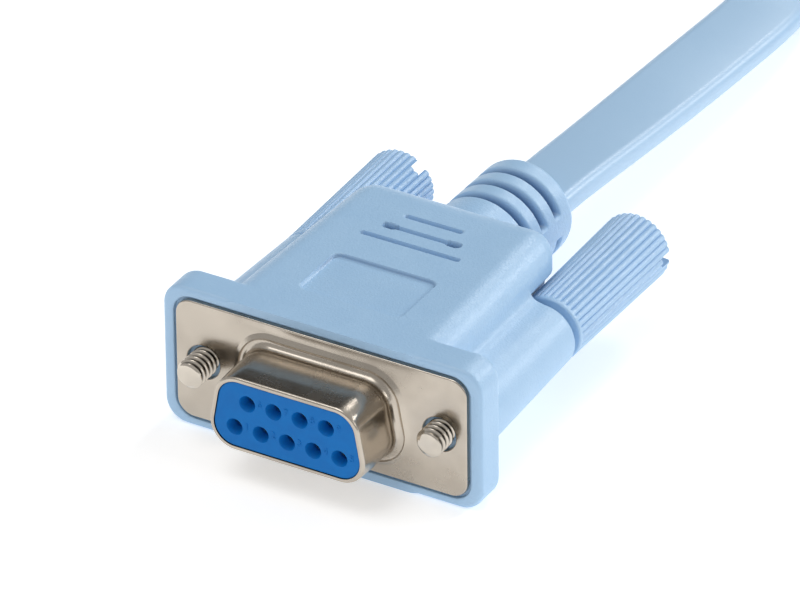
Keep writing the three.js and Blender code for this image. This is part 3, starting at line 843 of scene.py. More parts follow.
    def radii(self, y: Array, angle: Array, field: Callable[[Array, Array, Array], Array]) -> Array:
        """Radius at which a field changes sign along each ray, found by halving a span."""
        low = np.zeros((len(y), len(angle)))
        high = np.full_like(low, self.reach)
        cosine, sine = np.cos(angle)[None, :], np.sin(angle)[None, :]
        for _ in range(self.halvings):
            middle = 0.5 * (low + high)
            within = field(middle * cosine, y[:, None], middle * sine) < 0
            low, high = np.where(within, middle, low), np.where(within, high, middle)
        return 0.5 * (low + high)

    def skin(self) -> Part:
        """The hood's closed skin: the flange's recess, then every ring from the bezel to the collar, with
        painted shade marked in its hollows and grooves.
        """
        angle, y = self.angles(), self.places()
        radius = self.radii(y, angle, self.distance)
        across, up = radius * np.cos(angle), radius * np.sin(angle)
        top = smooth_step((up - self.bezel_half[1] + 1.6) / 0.8)
        depth, painted_shade_mark = self.sunk(across, y[:, None])
        drop = self.drop(y[:, None], up - CONNECTOR.relief_rise)
        # Painted shade: the top's marks, and the relief's grooves darker with their depth.
        painted_shade_mark = np.maximum(painted_shade_mark * top, 0.8 * np.clip(2.2 * drop / self.groove_depth - 0.2, 0, 1))
        rings = np.stack([across, np.broadcast_to(y[:, None], up.shape), up - depth * top], axis=-1)
        recess = self.recess(angle)
        return Part.loft(np.concatenate([recess, rings])).shaded(painted_shade_mark, recess.shape[0] * recess.shape[1])

    def recess(self, angle: Array) -> Array:
        """Rings of the recess that the flange sits in, from its floor to the bezel's front."""
        half = (
            CONNECTOR.flange_width / 2 + self.recess_gap, CONNECTOR.flange_height / 2 + self.recess_gap,
        )
        corner = CONNECTOR.flange_corner + self.recess_gap

        def edge(x: Array, y: Array, z: Array) -> Array:
            """Distance to the recess's outline, which doesn't change along y."""
            return box_distance(x, z, *half, corner) + 0 * y

        radius = self.radii(np.zeros(1), angle, edge)[0]
        steps = np.array([
            (0.5, self.recess_floor), (1.0, self.recess_floor), (1.0, 0.35), (1.0, 0.27),
            (1.002, 0.2), (1.006, 0.165), (1.012, self.bezel_front),
        ])
        return polar_rings(steps[:, :1] * radius, steps[:, 1:], angle)

    def build(self, finish: bpy.types.Material) -> bpy.types.Object:
        """Makes the hood's object."""
        return make_object("moulded_hood", self.skin(), finish, 44.0)


@dataclass
class FrontShell:
    """Nickel-plated flange plate and D shell, drawn from one sheet."""

    reach: float = CONNECTOR.shell_reach
    rim: float = 0.25
    flare: float = 0.9
    bead: float = 0.3
    bead_width: float = 0.45
    crease: float = 0.2
    fillet: float = 0.75
    bulge: float = 0.09
    edge: float = 0.16
    hole_radius: float = 1.75
    hole_edge: float = 0.12

    def wall(self) -> Part:
        """D wall: a profile of offset and y carried round the D outline."""
        turn = quarter_turn(6)
        flat, foot = self.flare + self.bead_width, self.bead - self.fillet
        profile = [
            *((flat - self.bead_width / 2 * (1 - math.cos(a)), -self.bead * 0.5 * (1 - math.cos(a)))
              for a in np.linspace(0, HALF_TURN, 9)),
            *((self.flare - self.crease * (1 - math.cos(a)), -self.bead + self.crease * math.sin(a))
              for a in np.linspace(0, HALF_TURN / 2, 4)[1:]),
            *(((self.flare - self.crease) * (1 - s), -self.bead + self.crease - self.fillet * (1 - c))
              for c, s in turn[1:]),
            *((self.bulge * math.sin(HALF_TURN * t), foot * (1 - t) - (self.reach - self.rim) * t)
              for t in np.linspace(0.08, 0.95, 12)),
            *((-self.rim * (1 - c), -self.reach + self.rim * (1 - s)) for c, s in turn),
            *((-CONNECTOR.sheet + self.rim * c, -self.reach + self.rim * (1 - s)) for c, s in turn[::-1][1:]),
            (-CONNECTOR.sheet, -self.reach + 1.2),
            (-CONNECTOR.sheet, CONNECTOR.sheet),
        ]
        return strip([D_OUTLINE.ring(offset) for offset, _ in profile], [y for _, y in profile])

    def plate(self) -> Part:
        """Flange plate: flat faces in front and behind, with rounded edges and two holes."""
        turn = quarter_turn(5)
        outline = [
            rounded_rectangle(CONNECTOR.flange_width - 2 * inset, CONNECTOR.flange_height - 2 * inset,
                              CONNECTOR.flange_corner - inset / 2)
            for inset in self.edge * (1 - turn[:, 1])[::-1]
        ]
        depth = self.edge * (1 - turn[:, 0])[::-1]
        sides = strip([*outline[::-1], outline[0]], [*depth[::-1], CONNECTOR.sheet])
        rings, holes, backs = [], [], []
        for side in (-1, 1):
            shift = np.array([side * CONNECTOR.screw_x, 0])
            mouths = [circle(self.hole_radius + self.hole_edge * (1 - s), 48) + shift for _, s in turn]
            depths = [*self.hole_edge * (1 - turn[:, 0]), CONNECTOR.sheet]
            rings.append(strip([*mouths, mouths[-1]], depths))
            holes.append(mouths[0])
            backs.append(mouths[-1])
        front = flat_face(outline[-1], [D_OUTLINE.ring(self.flare + self.bead_width), *holes], 0)
        back = flat_face(outline[0], [D_OUTLINE.ring(-CONNECTOR.sheet), *backs], CONNECTOR.sheet)
        return merged([sides, *rings, front, back])

    def build(self, finish: bpy.types.Material) -> bpy.types.Object:
        """Makes the shell's object."""
        return make_object("front_plate_and_shell", self.wall() + self.plate(), finish, 40.0, weld=True)


@dataclass
class Insulator:
    """Blue insulator with nine countersunk holes and a small number beside each."""

    front: float = -6.07
    tail: float = 5.2
    gap: float = 0.44
    edge: float = 0.1
    mouth: float = 0.86
    throat: float = 0.55
    mouth_depth: float = 1.0
    depth: float = 4.2
    pitch: float = 2.77
    row: float = 2.84
    digit_height: float = 0.75
    digit_shift: tuple[float, float] = (1.32, 0.35)

    def holes(self) -> list[tuple[float, float]]:
        """The holes' places as x and z: five below, then four above."""
        below = [((i - 2) * self.pitch, -self.row / 2) for i in range(5)]
        above = [((i - 1.5) * self.pitch, self.row / 2) for i in range(4)]
        return below + above

    def block(self) -> Part:
        """The block: its face, side and back, with a cone and throat at each hole."""
        outer = D_OUTLINE.ring(-self.gap)
        eased = D_OUTLINE.ring(-self.gap - self.edge)
        circles, throats = [], []
        for x, z in self.holes():
            shift = np.array([x, z])
            cone = [circle(r, 28) + shift for r in (
                self.mouth, self.mouth - 0.03, self.throat + 0.03, self.throat, self.throat, 0.05)]
            places = (0, 0.06, self.mouth_depth - 0.05, self.mouth_depth, self.depth, self.depth)
            throats.append(strip(cone, [self.front + p for p in places]))
            circles.append(cone[0])
        face = flat_face(eased, circles, self.front)
        side = strip([eased, outer, outer], [self.front, self.front + self.edge, self.tail])
        return merged([face, side, flat_face(outer, [], self.tail), *throats])

    def digits(self) -> Part:
        """Raised numbers 1 to 9, each above and beside its hole."""
        whole = []
        for index, (x, z) in enumerate(self.holes()):
            text = bpy.data.curves.new(f"digit_{index + 1}", "FONT")
            text.body, text.align_x, text.align_y = str(index + 1), "CENTER", "CENTER"
            text.size, text.extrude, text.resolution_u = self.digit_height * 1.35, 0.035, 3
            holder = bpy.data.objects.new(text.name, text)
            mesh = bpy.data.meshes.new_from_object(holder)
            flat = np.zeros(len(mesh.vertices) * 3)
            mesh.vertices.foreach_get("co", flat)
            flat = flat.reshape(-1, 3)
            right, high = self.digit_shift
            points = np.column_stack([
                flat[:, 0] + x + right, self.front - 0.01 - flat[:, 2], flat[:, 1] + z + high,
            ])
            whole.append(Part(points, [list(p.vertices) for p in mesh.polygons]))
            bpy.data.objects.remove(holder)
            bpy.data.meshes.remove(mesh)
            bpy.data.curves.remove(text)
        return merged(whole)

    def build(self, finish: bpy.types.Material) -> list[bpy.types.Object]:
        """Makes the insulator and its numbers."""
        return [
            make_object("insulator_block", self.block(), finish, 30.0, weld=True),
            make_object("contact_numbers", self.digits(), finish, 30.0, weld=True),
        ]


@dataclass
class Thumbscrew:
    """A 4-40 screw in a ribbed knob, on one side of the connector."""

    side: int
    gap: float
    radius: float = 1.42
    pitch: float = 0.635
    thread_depth: float = 0.42
    reach: float = 22.5
    threaded: float = 7.0
    tip_radius: float = 0.86
    tip_growth: float = 1.1
    knob_length: float = 17.0
    knob_radii: tuple[float, float] = (3.32, 3.58)
    ribs: int = 32
    rib_depth: float = 0.24
    rear_edge: float = 0.45
    slot: tuple[float, float] = (1.1, 1.6)
    slot_turn: float = 0.0

    def side_name(self) -> str:
        """left or right"""
        return "left" if self.side < 0 else "right"

    def front(self) -> float:
        """The knob's front end, in y."""
        return CONNECTOR.sleeve_end + self.gap

    def screw(self) -> Part:
        """Screw: the radius dips by a triangle wave of y and angle, and narrows at the tip. Painted shade
        darkens the thread's valleys, away from the tip.
        """
        tip = self.front() - self.reach
        steps = np.concatenate([np.arange(0, self.threaded, 0.04), [self.threaded + 1, self.reach + 8]])
        angle = np.linspace(0, FULL_TURN, 56, endpoint=False)
        y, a = np.meshgrid(tip + steps, angle, indexing="ij")
        phase = (y / self.pitch + a / FULL_TURN) % 1
        tooth = np.clip(1.25 * (1 - np.abs(2 * phase - 1)) - 0.12, 0, 1)
        fade = smooth_step((tip + self.threaded - y) / 0.6)
        radius = self.radius - self.thread_depth * tooth * fade
        point = self.tip_radius + self.tip_growth * np.sqrt(np.clip(y - tip, 0, 4))
        radius = np.minimum(radius, point)
        rings = polar_rings(radius, y, a)
        # Painted shade in the thread's valleys, none at the tip.
        shade = smooth_step((tooth * fade - 0.3) / 0.35) * smooth_step((y - tip - 0.3) / 0.3)
        return Part.loft(rings).shaded(shade).moved((self.side * CONNECTOR.screw_x, 0, 0))

    def knob(self) -> Part:
        """Knob: round ribs along its length that fade at both rounded ends."""
        front, rear = self.front(), self.front() + self.knob_length
        turn = quarter_turn(6)
        nose = [(front + 0.2 * (1 - c), -0.2 * (1 - s), 0.0) for c, s in turn]
        body = [(front + t, 0.0, float(smooth_step((t - 0.3) / 0.4))) for t in np.linspace(0.26, 1.0, 8)]
        body += [(front + t, 0.0, 1.0) for t in np.linspace(1.5, self.knob_length - self.rear_edge, 14)]
        edge = self.rear_edge
        tail = [(rear - edge * (1 - s), -edge * (1 - c), 0.35 + 0.65 * c) for c, s in turn[1:]]
        profile = np.array([*nose, *body, *tail, (rear, -edge - 0.5, 0.0)])
        count = self.ribs * 10
        angle = np.linspace(0, FULL_TURN, count, endpoint=False)
        y = profile[:, 0][:, None]
        share = (y - front) / self.knob_length
        base = self.knob_radii[0] + (self.knob_radii[1] - self.knob_radii[0]) * share + profile[:, 1][:, None]
        valley = 1 - np.abs(np.cos(self.ribs * angle / 2)) ** 0.7
        radius = base - self.rib_depth * valley[None, :] * profile[:, 2][:, None]
        rings = polar_rings(radius, y, angle)
        return Part.loft(rings).moved((self.side * CONNECTOR.screw_x, 0, 0))

    def slot_cutter(self) -> Part:
        """The screwdriver slot, as the block that is cut out."""
        width, depth = self.slot
        rear = self.front() + self.knob_length
        outline = rounded_rectangle(10, width, 0.12, 3)
        c, s = math.cos(self.slot_turn), math.sin(self.slot_turn)
        turned = outline @ np.array([[c, s], [-s, c]])
        rings = np.stack([ring_at(turned, rear - depth), ring_at(turned, rear + 1)])
        return Part.loft(rings).moved((self.side * CONNECTOR.screw_x, 0, 0))

    def build(self, metal: bpy.types.Material, vinyl: bpy.types.Material) -> list[bpy.types.Object]:
        """Makes the screw and the knob."""
        screw = make_object(f"{self.side_name()}_thread", self.screw(), metal, 50.0)
        knob = make_object(f"{self.side_name()}_ribbed_knob", self.knob(), vinyl, 50.0)
        cut_by(knob, [self.slot_cutter()], 50.0)
        return [screw, knob]


@dataclass
class FlatCable:
    """The flat cable, from the strain relief through the hank to the plug.

    The seen stretch repeats the chosen points of the route. Past them the cable turns on its edge
    and lies in a spiral of racetrack turns, which a formula gives, and turns flat again into the plug.
    """

    width: float = 7.5
    thickness: float = 2.5
    corner: float = 1.05
    turns: int = 6
    pitch: float = 2.65
    inner: float = 19.0
    run: float = 50.0
    hank_start: float = 98.0
    spacing: float = 2.0
    plug_width: float = 11.68
    plug_length: float = 21.5
    plug_height: float = 6.6
    cavity: float = 9.0
    length: float = 1.8
    step: float = 1.5
    first_roll: float = math.radians(-10)
    first_roll_span: tuple[float, float] = (40.0, 34.0)
    route_until: float = 70.0
    bend_start: float = 84.0
    bend_length: float = 46.0
    edge_roll_length: float = 28.0
    settle_span: tuple[float, float] = (100.0, 16.0)
    lie_gap: float = 0.03
    lie_blend: float = 0.3
    route: tuple[tuple[float, float], ...] = (
        (0.0376, 0.00766), (0.041, 0.00761), (0.045, 0.00731), (0.050, 0.00684), (0.055, 0.00641),
        (0.060, 0.00601), (0.065, 0.00564), (0.070, 0.00529), (0.075, 0.00496), (0.080, 0.00464),
        (0.085, 0.00434), (0.090, 0.00406), (0.095, 0.00386), (0.100, 0.00375),
    )

    @property
    def outer(self) -> float:
        """Radius of the outermost turn's middle."""
        return self.inner + self.turns * self.pitch

    @property
    def hank_x(self) -> float:
        """The hank's middle across, which keeps its outer side in line with the bezel's."""
        return self.outer - Hood().bezel_half[0] + self.thickness / 2

    @property
    def hank_y(self) -> float:
        """The hank's middle along y."""
        return self.hank_start + self.outer + (self.thickness + self.run) / 2

    @property
    def floor(self) -> float:
        """The surface that everything lies on, as a height on the connector's axes."""
        return -float(ORIGIN[2])

    @property
    def plug_place(self) -> Array:
        """Middle of the plug's rear end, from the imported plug's box."""
        low, high = (np.array(corner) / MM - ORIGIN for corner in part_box("plug_body"))
        return np.array([
            (low[0] + high[0]) / 2, high[1] - self.plug_length, self.floor + self.plug_height / 2,
        ])

    def spiral(self) -> Array:
        """Middle of the hank's turns: runs and half circles whose radius shrinks evenly."""
        half, arc_steps, run_steps = self.run / 2, 22, 18
        u = np.linspace(0, 1, run_steps, endpoint=False)
        v = np.linspace(0, HALF_TURN, arc_steps, endpoint=False)
        rows = []
        for turn in range(self.turns):
            bend = 0.3 * v / HALF_TURN
            share = np.concatenate([0.2 * u, 0.2 + bend, 0.5 + 0.2 * u, 0.7 + bend])
            radius = self.outer - self.pitch * (turn + share)
            left = np.column_stack([-radius[:run_steps], -half + self.run * u])
            a, b = run_steps, run_steps + arc_steps
            far = np.column_stack([-radius[a:b] * np.cos(v), half + radius[a:b] * np.sin(v)])
            right = np.column_stack([radius[b:b + run_steps], half - self.run * u])
            near_radius = radius[b + run_steps:]
            near = np.column_stack([near_radius * np.cos(v), -half - near_radius * np.sin(v)])
            rows += [left, far, right, near]
        flat = np.vstack([*rows, [[-self.inner, -half]]])
        edge = np.full(len(flat), self.floor + self.width / 2)
        return np.column_stack([flat[:, 0] + self.hank_x, flat[:, 1] + self.hank_y, edge])

    def lean(self, y: Array) -> Array:
        """Roll of the seen stretch and the bend behind it, from flat at the exit to on edge."""
        start, length = self.first_roll_span
        first = self.first_roll * smooth_step((y - start) / length)
        on_edge = smooth_step((y - self.bend_start) / self.edge_roll_length)
        return first + (-HALF_TURN / 2 - self.first_roll) * on_edge

    def half_height(self, roll: Array) -> Array:
        """Half the height that the section takes up at a roll."""
        flat, tall = self.thickness / 2, self.width / 2
        level = np.abs(np.cos(roll))
        return tall * np.abs(np.sin(roll)) + flat * (0.8 * level + 0.2 * level ** 2)

    def lead(self) -> tuple[Array, Array]:
        """The seen stretch and the bend to the hank's outer run, with their rolls."""
        points = np.array(self.route) / MM
        start = self.hank_y - self.run / 2
        y = np.concatenate([
            np.arange(points[0, 0], self.bend_start, self.step),
            np.arange(self.bend_start, start, self.step),
        ])
        chosen = np.interp(y, points[:, 0], points[:, 1]) + self.floor
        roll = self.lean(y)
        lowest = self.floor + self.half_height(roll) + self.lie_gap
        height = 0.5 * (chosen + lowest + np.sqrt((chosen - lowest) ** 2 + self.lie_blend ** 2))
        settled = self.floor + self.width / 2
        from_y, over = self.settle_span
        height = height + (settled - height) * smooth_step((y - from_y) / over)
        height = np.maximum(height, self.floor + self.half_height(roll))
        height = np.where(y < self.route_until, chosen, height)
        aside = smooth_step((y - self.bend_start) / self.bend_length)
        x = -(self.outer - self.hank_x) * aside
        return np.column_stack([x, y, height]), roll

    def tail(self) -> tuple[Array, Array]:
        """From the innermost run into the plug, turning flat again."""
        start = self.hank_y - self.run / 2
        plug = self.plug_place
        end = plug[1] + self.cavity - 0.3
        y = np.arange(start + self.step, end, self.step)
        share = smooth_step((y - start) / (plug[1] - 2 - start))
        left = self.hank_x - self.inner
        roll = -HALF_TURN / 2 * (1 - smooth_step((y - start - 2) / (plug[1] - 4 - start)))
        height = self.floor + self.half_height(roll)
        height = height + (plug[2] - height) * smooth_step((y - start - 8) / (plug[1] - 9 - start))
        return np.column_stack([left + (plug[0] - left) * share, y, height]), roll

    def middle(self) -> tuple[Array, Array]:
        """The whole cable's middle line and roll, at an even spacing, smoothed once along its length."""
        lead, lead_roll = self.lead()
        turns = self.spiral()
        tail, tail_roll = self.tail()
        points = np.vstack([lead, turns, tail])
        roll = np.concatenate([lead_roll, np.full(len(turns), -HALF_TURN / 2), tail_roll])
        gone = np.concatenate([[0], np.cumsum(np.linalg.norm(np.diff(points, axis=0), axis=1))])
        even = np.linspace(0, gone[-1], int(gone[-1] / self.spacing))
        line = np.column_stack([np.interp(even, gone, points[:, k]) for k in range(3)])
        roll = np.interp(even, gone, roll)
        for _ in range(3):
            line[1:-1] = 0.25 * line[:-2] + 0.5 * line[1:-1] + 0.25 * line[2:]
        return line, roll

    def section(self) -> Array:
        """The cable's section: across its width and through its thickness."""
        return rounded_rectangle(self.width, self.thickness, self.corner, 5)

    def skin(self) -> tuple[Part, Array]:
        """Skin of the section carried along the middle line and turned by the roll.

        Returns:
            The skin and the middle line.
        """
        line, roll = self.middle()
        ahead = np.gradient(line, axis=0)
        ahead /= np.linalg.norm(ahead, axis=1, keepdims=True)
        across = np.cross(ahead, [0, 0, 1])
        across /= np.linalg.norm(across, axis=1, keepdims=True)
        up = np.cross(across, ahead)
        wide = across * np.cos(roll)[:, None] + up * np.sin(roll)[:, None]
        thick = up * np.cos(roll)[:, None] - across * np.sin(roll)[:, None]
        section = self.section()
        rings = (
            line[:, None, :] + wide[:, None, :] * section[None, :, 0, None]
            + thick[:, None, :] * section[None, :, 1, None]
        )
        return Part.loft(rings), line

    def build(self, finish: bpy.types.Material) -> tuple[bpy.types.Object, Array]:
        """Makes the cable's object and gives its middle line in metres."""
        part, line = self.skin()
        return make_object("flat_strap", part, finish, 50.0), to_frame(line)


@dataclass
class Tie:
    """Soft white band round the hank's right-hand run."""

    cable: FlatCable
    width: float = 4.0
    thickness: float = 0.8
    gap: float = 0.3
    corner: float = 1.4
    lift: float = 0.02

    def build(self, finish: bpy.types.Material) -> bpy.types.Object:
        """Makes the band: a rounded strap section carried round a rounded rectangle."""
        cable = self.cable
        bundle = cable.pitch * (cable.turns - 1) + cable.thickness
        x = cable.hank_x + cable.outer - cable.pitch * (0.6 + (cable.turns - 1) / 2)
        height = cable.width + self.gap
        grow = self.thickness / 2
        path = rounded_rectangle(bundle + 2 * self.gap + self.thickness, height + grow, self.corner, 8)
        middle = np.array([x, cable.hank_y, cable.floor + self.lift + height / 2 + grow / 2])
        ahead = np.roll(path, -1, axis=0) - np.roll(path, 1, axis=0)
        out = np.column_stack([ahead[:, 1], -ahead[:, 0]])
        out /= np.linalg.norm(out, axis=1, keepdims=True)
        profile = rounded_rectangle(self.thickness * 0.8, self.width, 0.3, 4)
        rings = np.stack([
            path[:, None, 0] + out[:, None, 0] * profile[None, :, 0],
            np.broadcast_to(profile[None, :, 1], (len(path), len(profile))),
            path[:, None, 1] + out[:, None, 1] * profile[None, :, 0],
        ], axis=-1)
        return make_object("white_tie", Part.torus(rings + middle), finish, 50.0)


@dataclass
class Plug:
    """Modular plug: a clear body with a latch, eight coloured conductors and the gold blades."""

    cable: FlatCable
    edge: float = 0.35
    pitch: float = 1.02
    slot: tuple[float, float, float] = (0.6, 4.6, 1.7)
    latch_widths: tuple[float, float] = (6.2, 3.2)
    latch_length: float = 15.5
    latch_rise: float = 3.4
    latch_thickness: float = 1.0
    conductor_radius: float = 0.42
    colours: tuple[tuple[str, Colour], ...] = (
        ("blue", (0.02, 0.10, 0.45, 1)), ("orange", (0.80, 0.22, 0.02, 1)),
        ("black", (0.02, 0.02, 0.02, 1)), ("red", (0.55, 0.02, 0.02, 1)),
        ("green", (0.02, 0.30, 0.06, 1)), ("yellow", (0.80, 0.60, 0.03, 1)),
        ("brown", (0.16, 0.06, 0.02, 1)), ("white", (0.75, 0.75, 0.72, 1)),
    )

    def body(self) -> Part:
        """Body: rounded rings along y that step in at the nose."""
        width, height, length = self.cable.plug_width, self.cable.plug_height, self.cable.plug_length
        turn = quarter_turn(5)
        rows = [(self.edge * (1 - c), self.edge * (1 - s)) for c, s in turn]
        rows += [(y, 0.0) for y in (3.0, 8.0, 12.0, 16.0)]
        rows += [(length - self.edge * (1 - s), self.edge * (1 - c)) for c, s in turn]
        rings = [
            ring_at(rounded_rectangle(width - 2 * i, height - 2 * i, 0.7 - i / 2, 4), y) for y, i in rows
        ]
        return Part.loft(np.stack(rings)).moved(self.cable.plug_place)

    def cutters(self) -> list[Part]:
        """The rear cavity and the eight slots over the blades, as blocks to cut out."""
        cable, place = self.cable, self.cable.plug_place
        mouth = rounded_rectangle(cable.width + 0.7, cable.thickness + 0.7, 1.2, 5)
        throat = rounded_rectangle(cable.width + 0.3, 1.3, 0.3, 5)
        rings = [ring_at(mouth, -1), ring_at(mouth, cable.cavity), ring_at(throat, cable.cavity + 1.5),
                 ring_at(throat, cable.plug_length - 1.2)]
        found = [Part.loft(np.stack(rings)).moved(place)]
        width, length, depth = self.slot
        for index in range(8):
            outline = rounded_rectangle(width, 2 * depth, 0.05, 1) + np.array([
                (index - 3.5) * self.pitch, -cable.plug_height / 2])
            block = np.stack([ring_at(outline, cable.plug_length - length),
                              ring_at(outline, cable.plug_length + 1)])
            found.append(Part.loft(block).moved(place))
        return found

    def latch(self) -> Part:
        """Latch: a springy tongue whose width steps in, rising from the nose towards the cable."""
        cable = self.cable
        share = np.array([0, 0.06, 0.2, 0.4, 0.45, 0.5, 0.7, 0.9, 0.97, 1.0])
        wide = np.interp(share, [0, 0.42, 0.48, 1], [self.latch_widths[0]] * 2 + [self.latch_widths[1]] * 2)
        thick = np.interp(share, [0, 0.95, 1], [self.latch_thickness, self.latch_thickness, 0.5])
        nose = cable.plug_length - 1.0
        top, rise = cable.plug_height / 2, self.latch_rise - 0.2
        rings = [
            ring_at(rounded_rectangle(w, t, 0.2, 3) + [0, top + 0.25 + rise * s], nose - long)
            for s, long, w, t in zip(share, self.latch_length * share, wide, thick)
        ]
        foot = rounded_rectangle(self.latch_widths[0], 1.6, 0.3, 3) + [0, top - 0.1]
        root = np.stack([ring_at(foot, y) for y in (nose - 1.2, nose - 1.1, nose + 0.3, nose + 0.5)])
        return (Part.loft(np.stack(rings)) + Part.loft(root)).moved(cable.plug_place)

    def conductor(self, index: int) -> Part:
        """One round conductor from the cable's end to the blades."""
        x = (index - 3.5) * self.pitch
        y = np.linspace(self.cable.cavity - 0.5, self.cable.plug_length - 1.4, 12)
        spread = np.interp(y, [y[0], y[0] + 3], [0.86, 1.0])
        ring = circle(self.conductor_radius, 12)
        rings = np.stack([ring_at(ring + np.array([x * s, 0]), at) for s, at in zip(spread, y)])
        return Part.loft(rings).moved(self.cable.plug_place)

    def build(self, clear: bpy.types.Material) -> dict[str, bpy.types.Object]:
        """Makes the plug's body, latch and conductors."""
        body = make_object("plug_housing", self.body(), clear, 40.0)
        cut_by(body, self.cutters(), 40.0)
        made = {"body": body, "latch": make_object("plug_latch", self.latch(), clear, 40.0)}
        for index, (name, colour) in enumerate(self.colours):
            finish = SatinPlastic(f"conductor_{name}", colour, colour, 0.35).make()
            made[name] = make_object(f"conductor_{index + 1}", self.conductor(index), finish, 50.0)
        return made


# Camera, floor and light

@dataclass(frozen=True)
class PhotoCamera:
    """The photograph's camera, fitted to known points of the connector.

    The middle is the pixel, in a frame of 800 by 600, where the flange's middle shows, and the
    scale is pixels a millimetre there.
    """

    azimuth: float = math.radians(30.40)
    elevation: float = math.radians(32.03)
    roll: float = math.radians(-0.63)
    distance: float = 900.0
    middle: tuple[float, float] = (320.42, 398.20)
    scale: float = 10.94
    frame_size: tuple[float, float] = (800.0, 600.0)
    sensor: float = 36.0

    def build(self) -> None:
        """Makes the camera and sets it as the scene's."""
        a, e = self.azimuth, self.elevation
        back = np.array([math.sin(a) * math.cos(e), -math.cos(a) * math.cos(e), math.sin(e)])
        right = np.array([math.cos(a), math.sin(a), 0.0])
        up = np.cross(back, right)
        across = math.cos(self.roll) * right + math.sin(self.roll) * up
        above = -math.sin(self.roll) * right + math.cos(self.roll) * up
        width, height = self.frame_size
        place = (
            back * self.distance
            + across * (width / 2 - self.middle[0]) / self.scale
            - above * (height / 2 - self.middle[1]) / self.scale
        )
        data = bpy.data.cameras.new("photo_camera")
        data.sensor_width = self.sensor
        data.lens = self.scale * self.distance / width * self.sensor
        data.clip_start, data.clip_end = 0.05, 20
        made = bpy.data.objects.new("photo_camera", data)
        turn = Matrix(np.column_stack([across, above, back]).tolist()).to_4x4()
        made.matrix_world = Matrix.Translation(Vector(to_frame(place))) @ turn
        bpy.context.scene.collection.objects.link(made)
        bpy.context.scene.camera = made


@dataclass(frozen=True)
class SoftBox:
    """A square area light that faces the object."""

    name: str
    place: tuple[float, float, float]
    size: float
    power: float
    colour: tuple[float, float, float] = (1.0, 1.0, 1.0)

    def build(self) -> None:
        """Makes the light and aims it at the object."""
        data = bpy.data.lights.new(self.name, "AREA")
        data.shape, data.size, data.energy, data.color = "SQUARE", self.size, self.power, self.colour
        made = bpy.data.objects.new(self.name, data)
        made.location = self.place
        made.rotation_euler = (-Vector(self.place)).to_track_quat("-Z", "Y").to_euler()
        bpy.context.scene.collection.objects.link(made)


class Lights(Enum):
    """The soft boxes round the object."""

    KEY = SoftBox("key_box", (-0.25, -0.35, 1.15), 0.7, 3.7)
    SHEEN = SoftBox("rear_right_box", (0.66, 0.86, 0.5), 0.26, 3.6)
    SIDE = SoftBox("side_box", (1.0, -0.05, 0.5), 0.3, 0.9)
    REAR = SoftBox("rear_box", (0.06, 1.0, 0.8), 0.26, 2.6)


@dataclass(frozen=True)
class Studio:
    """Pale floor under a bright even sky."""

    floor_colour: Colour = (0.93, 0.93, 0.93, 1.0)
    sky: float = 0.5
    sky_dark: Colour = (0.10, 0.095, 0.09, 1.0)
    dark_way: tuple[float, float, float] = (-0.43, 0.73, 0.53)
    dark_span: tuple[float, float] = (0.84, 0.96)
    glow: float = 0.4
    floor_size: float = 6.0
    floor_drop: float = 0.00002

    def build(self) -> None:
        """Makes the floor, the sky and the lights."""
        half = self.floor_size / 2
        mesh = bpy.data.meshes.new("floor")
        corners = [(-half, -half, 0), (half, -half, 0), (half, half, 0), (-half, half, 0)]
        mesh.from_pydata(corners, [], [(0, 1, 2, 3)])
        tree = Tree("floor_white")
        cloud = tree.noise(tree.place(), 3.0, 2.0)
        mesh.materials.append(tree.surface({
            "Base Color": self.floor_colour, "Roughness": cloud * 0.1 + 0.6, "Specular IOR Level": 0.2,
            "Emission Color": grey(1.0), "Emission Strength": self.glow,
        }))
        floor = bpy.data.objects.new("floor", mesh)
        floor.location.z = -self.floor_drop
        bpy.context.scene.collection.objects.link(floor)
        self.sky_world()
        bpy.context.scene.view_settings.view_transform = "Standard"
        for light in Lights:
            light.value.build()

    def sky_world(self) -> None:
        """Makes the sky: even and white, but for a dark patch behind, which the metal reflects."""
        tree = Tree("studio_sky", bpy.data.worlds)
        way = tree.node("ShaderNodeTexCoord", output="Generated")
        along = tree.node("ShaderNodeVectorMath", {"operation": "DOT_PRODUCT"}, {
            0: way, 1: self.dark_way}, "Value")
        colour = tree.blend(along.smooth(*self.dark_span), grey(1.0), self.sky_dark)
        light = tree.node("ShaderNodeBackground", {}, {"Color": colour, "Strength": self.sky})
        tree.node_output(light, "ShaderNodeOutputWorld")
        bpy.context.scene.world = tree.owner


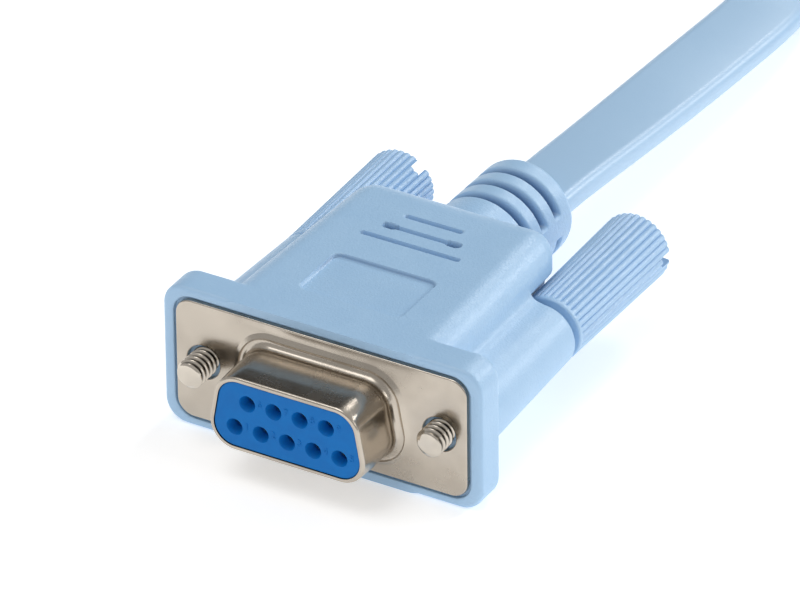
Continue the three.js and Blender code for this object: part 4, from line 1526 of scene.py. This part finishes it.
def show(made: bpy.types.Object, body: str, nodes: Sequence[str] = ()) -> None:
    """Makes a piece ride on a body and the nodes it stands for, and reports it.

    Args:
        made: The piece.
        body: The body that it rides on.
        nodes: The CAD nodes that it replaces.
    """
    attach(made, body)
    if nodes:
        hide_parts(*nodes)
    LOG.info("%s: %d faces on %s", made.name, len(made.data.polygons), body)


def dress(node: str, finish: bpy.types.Material) -> None:
    """Gives a kept CAD node a finish."""
    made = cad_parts[node]
    made.data.materials.clear()
    made.data.materials.append(finish)


def build_cable(vinyl: bpy.types.Material) -> None:
    cable = FlatCable()
    strap, line = cable.build(vinyl)
    show(strap, "connector", ["flat_cable", "cable_hank", "cable_tail"])
    tie = Tie(cable).build(TIE_WHITE.make())
    show(tie, "connector", ["cable_tie"])
    plug = Plug(cable).build(CLEAR.make())
    for key, made in plug.items():
        nodes = ["plug_body"] if key == "body" else []
        show(made, "connector", nodes)
    gold = GOLD.make()
    blades = [f"plug_contact_{i + 1}" for i in range(8)]
    for node in [*blades, *(f"socket_contact_{i + 1}" for i in range(9))]:
        dress(node, gold)


def build_connector(vinyl: bpy.types.Material) -> None:
    """Makes the hood, the shell, the insulator and the thumbscrews."""
    show(Hood().build(vinyl), "connector", ["hood"])
    show(FrontShell().build(NICKEL.make()), "connector", ["front_shell"])
    block, numbers = Insulator().build(INSULATOR_BLUE.make())
    show(block, "connector", ["insulator"])
    show(numbers, "connector")
    metal, knob_vinyl = SCREW_NICKEL.make(), KNOB_BLUE.make()
    for thumbscrew in (Thumbscrew(-1, 0.2, slot_turn=math.radians(50)), Thumbscrew(1, 0.95)):
        side = thumbscrew.side_name()
        screw, knob = thumbscrew.build(metal, knob_vinyl)
        show(screw, f"{side}_thumbscrew", [f"{side}_screw"])
        show(knob, f"{side}_thumbscrew", [f"{side}_knob"])


def main() -> None:
    """Builds the scene: camera and cord first, then the connector and the studio."""
    logging.basicConfig(level=logging.INFO, format="%(message)s")
    PhotoCamera().build()
    build_cable(CABLE_BLUE.make())
    build_connector(HOOD_BLUE.make())
    Studio().build()


if __name__ == "__main__":
    main()
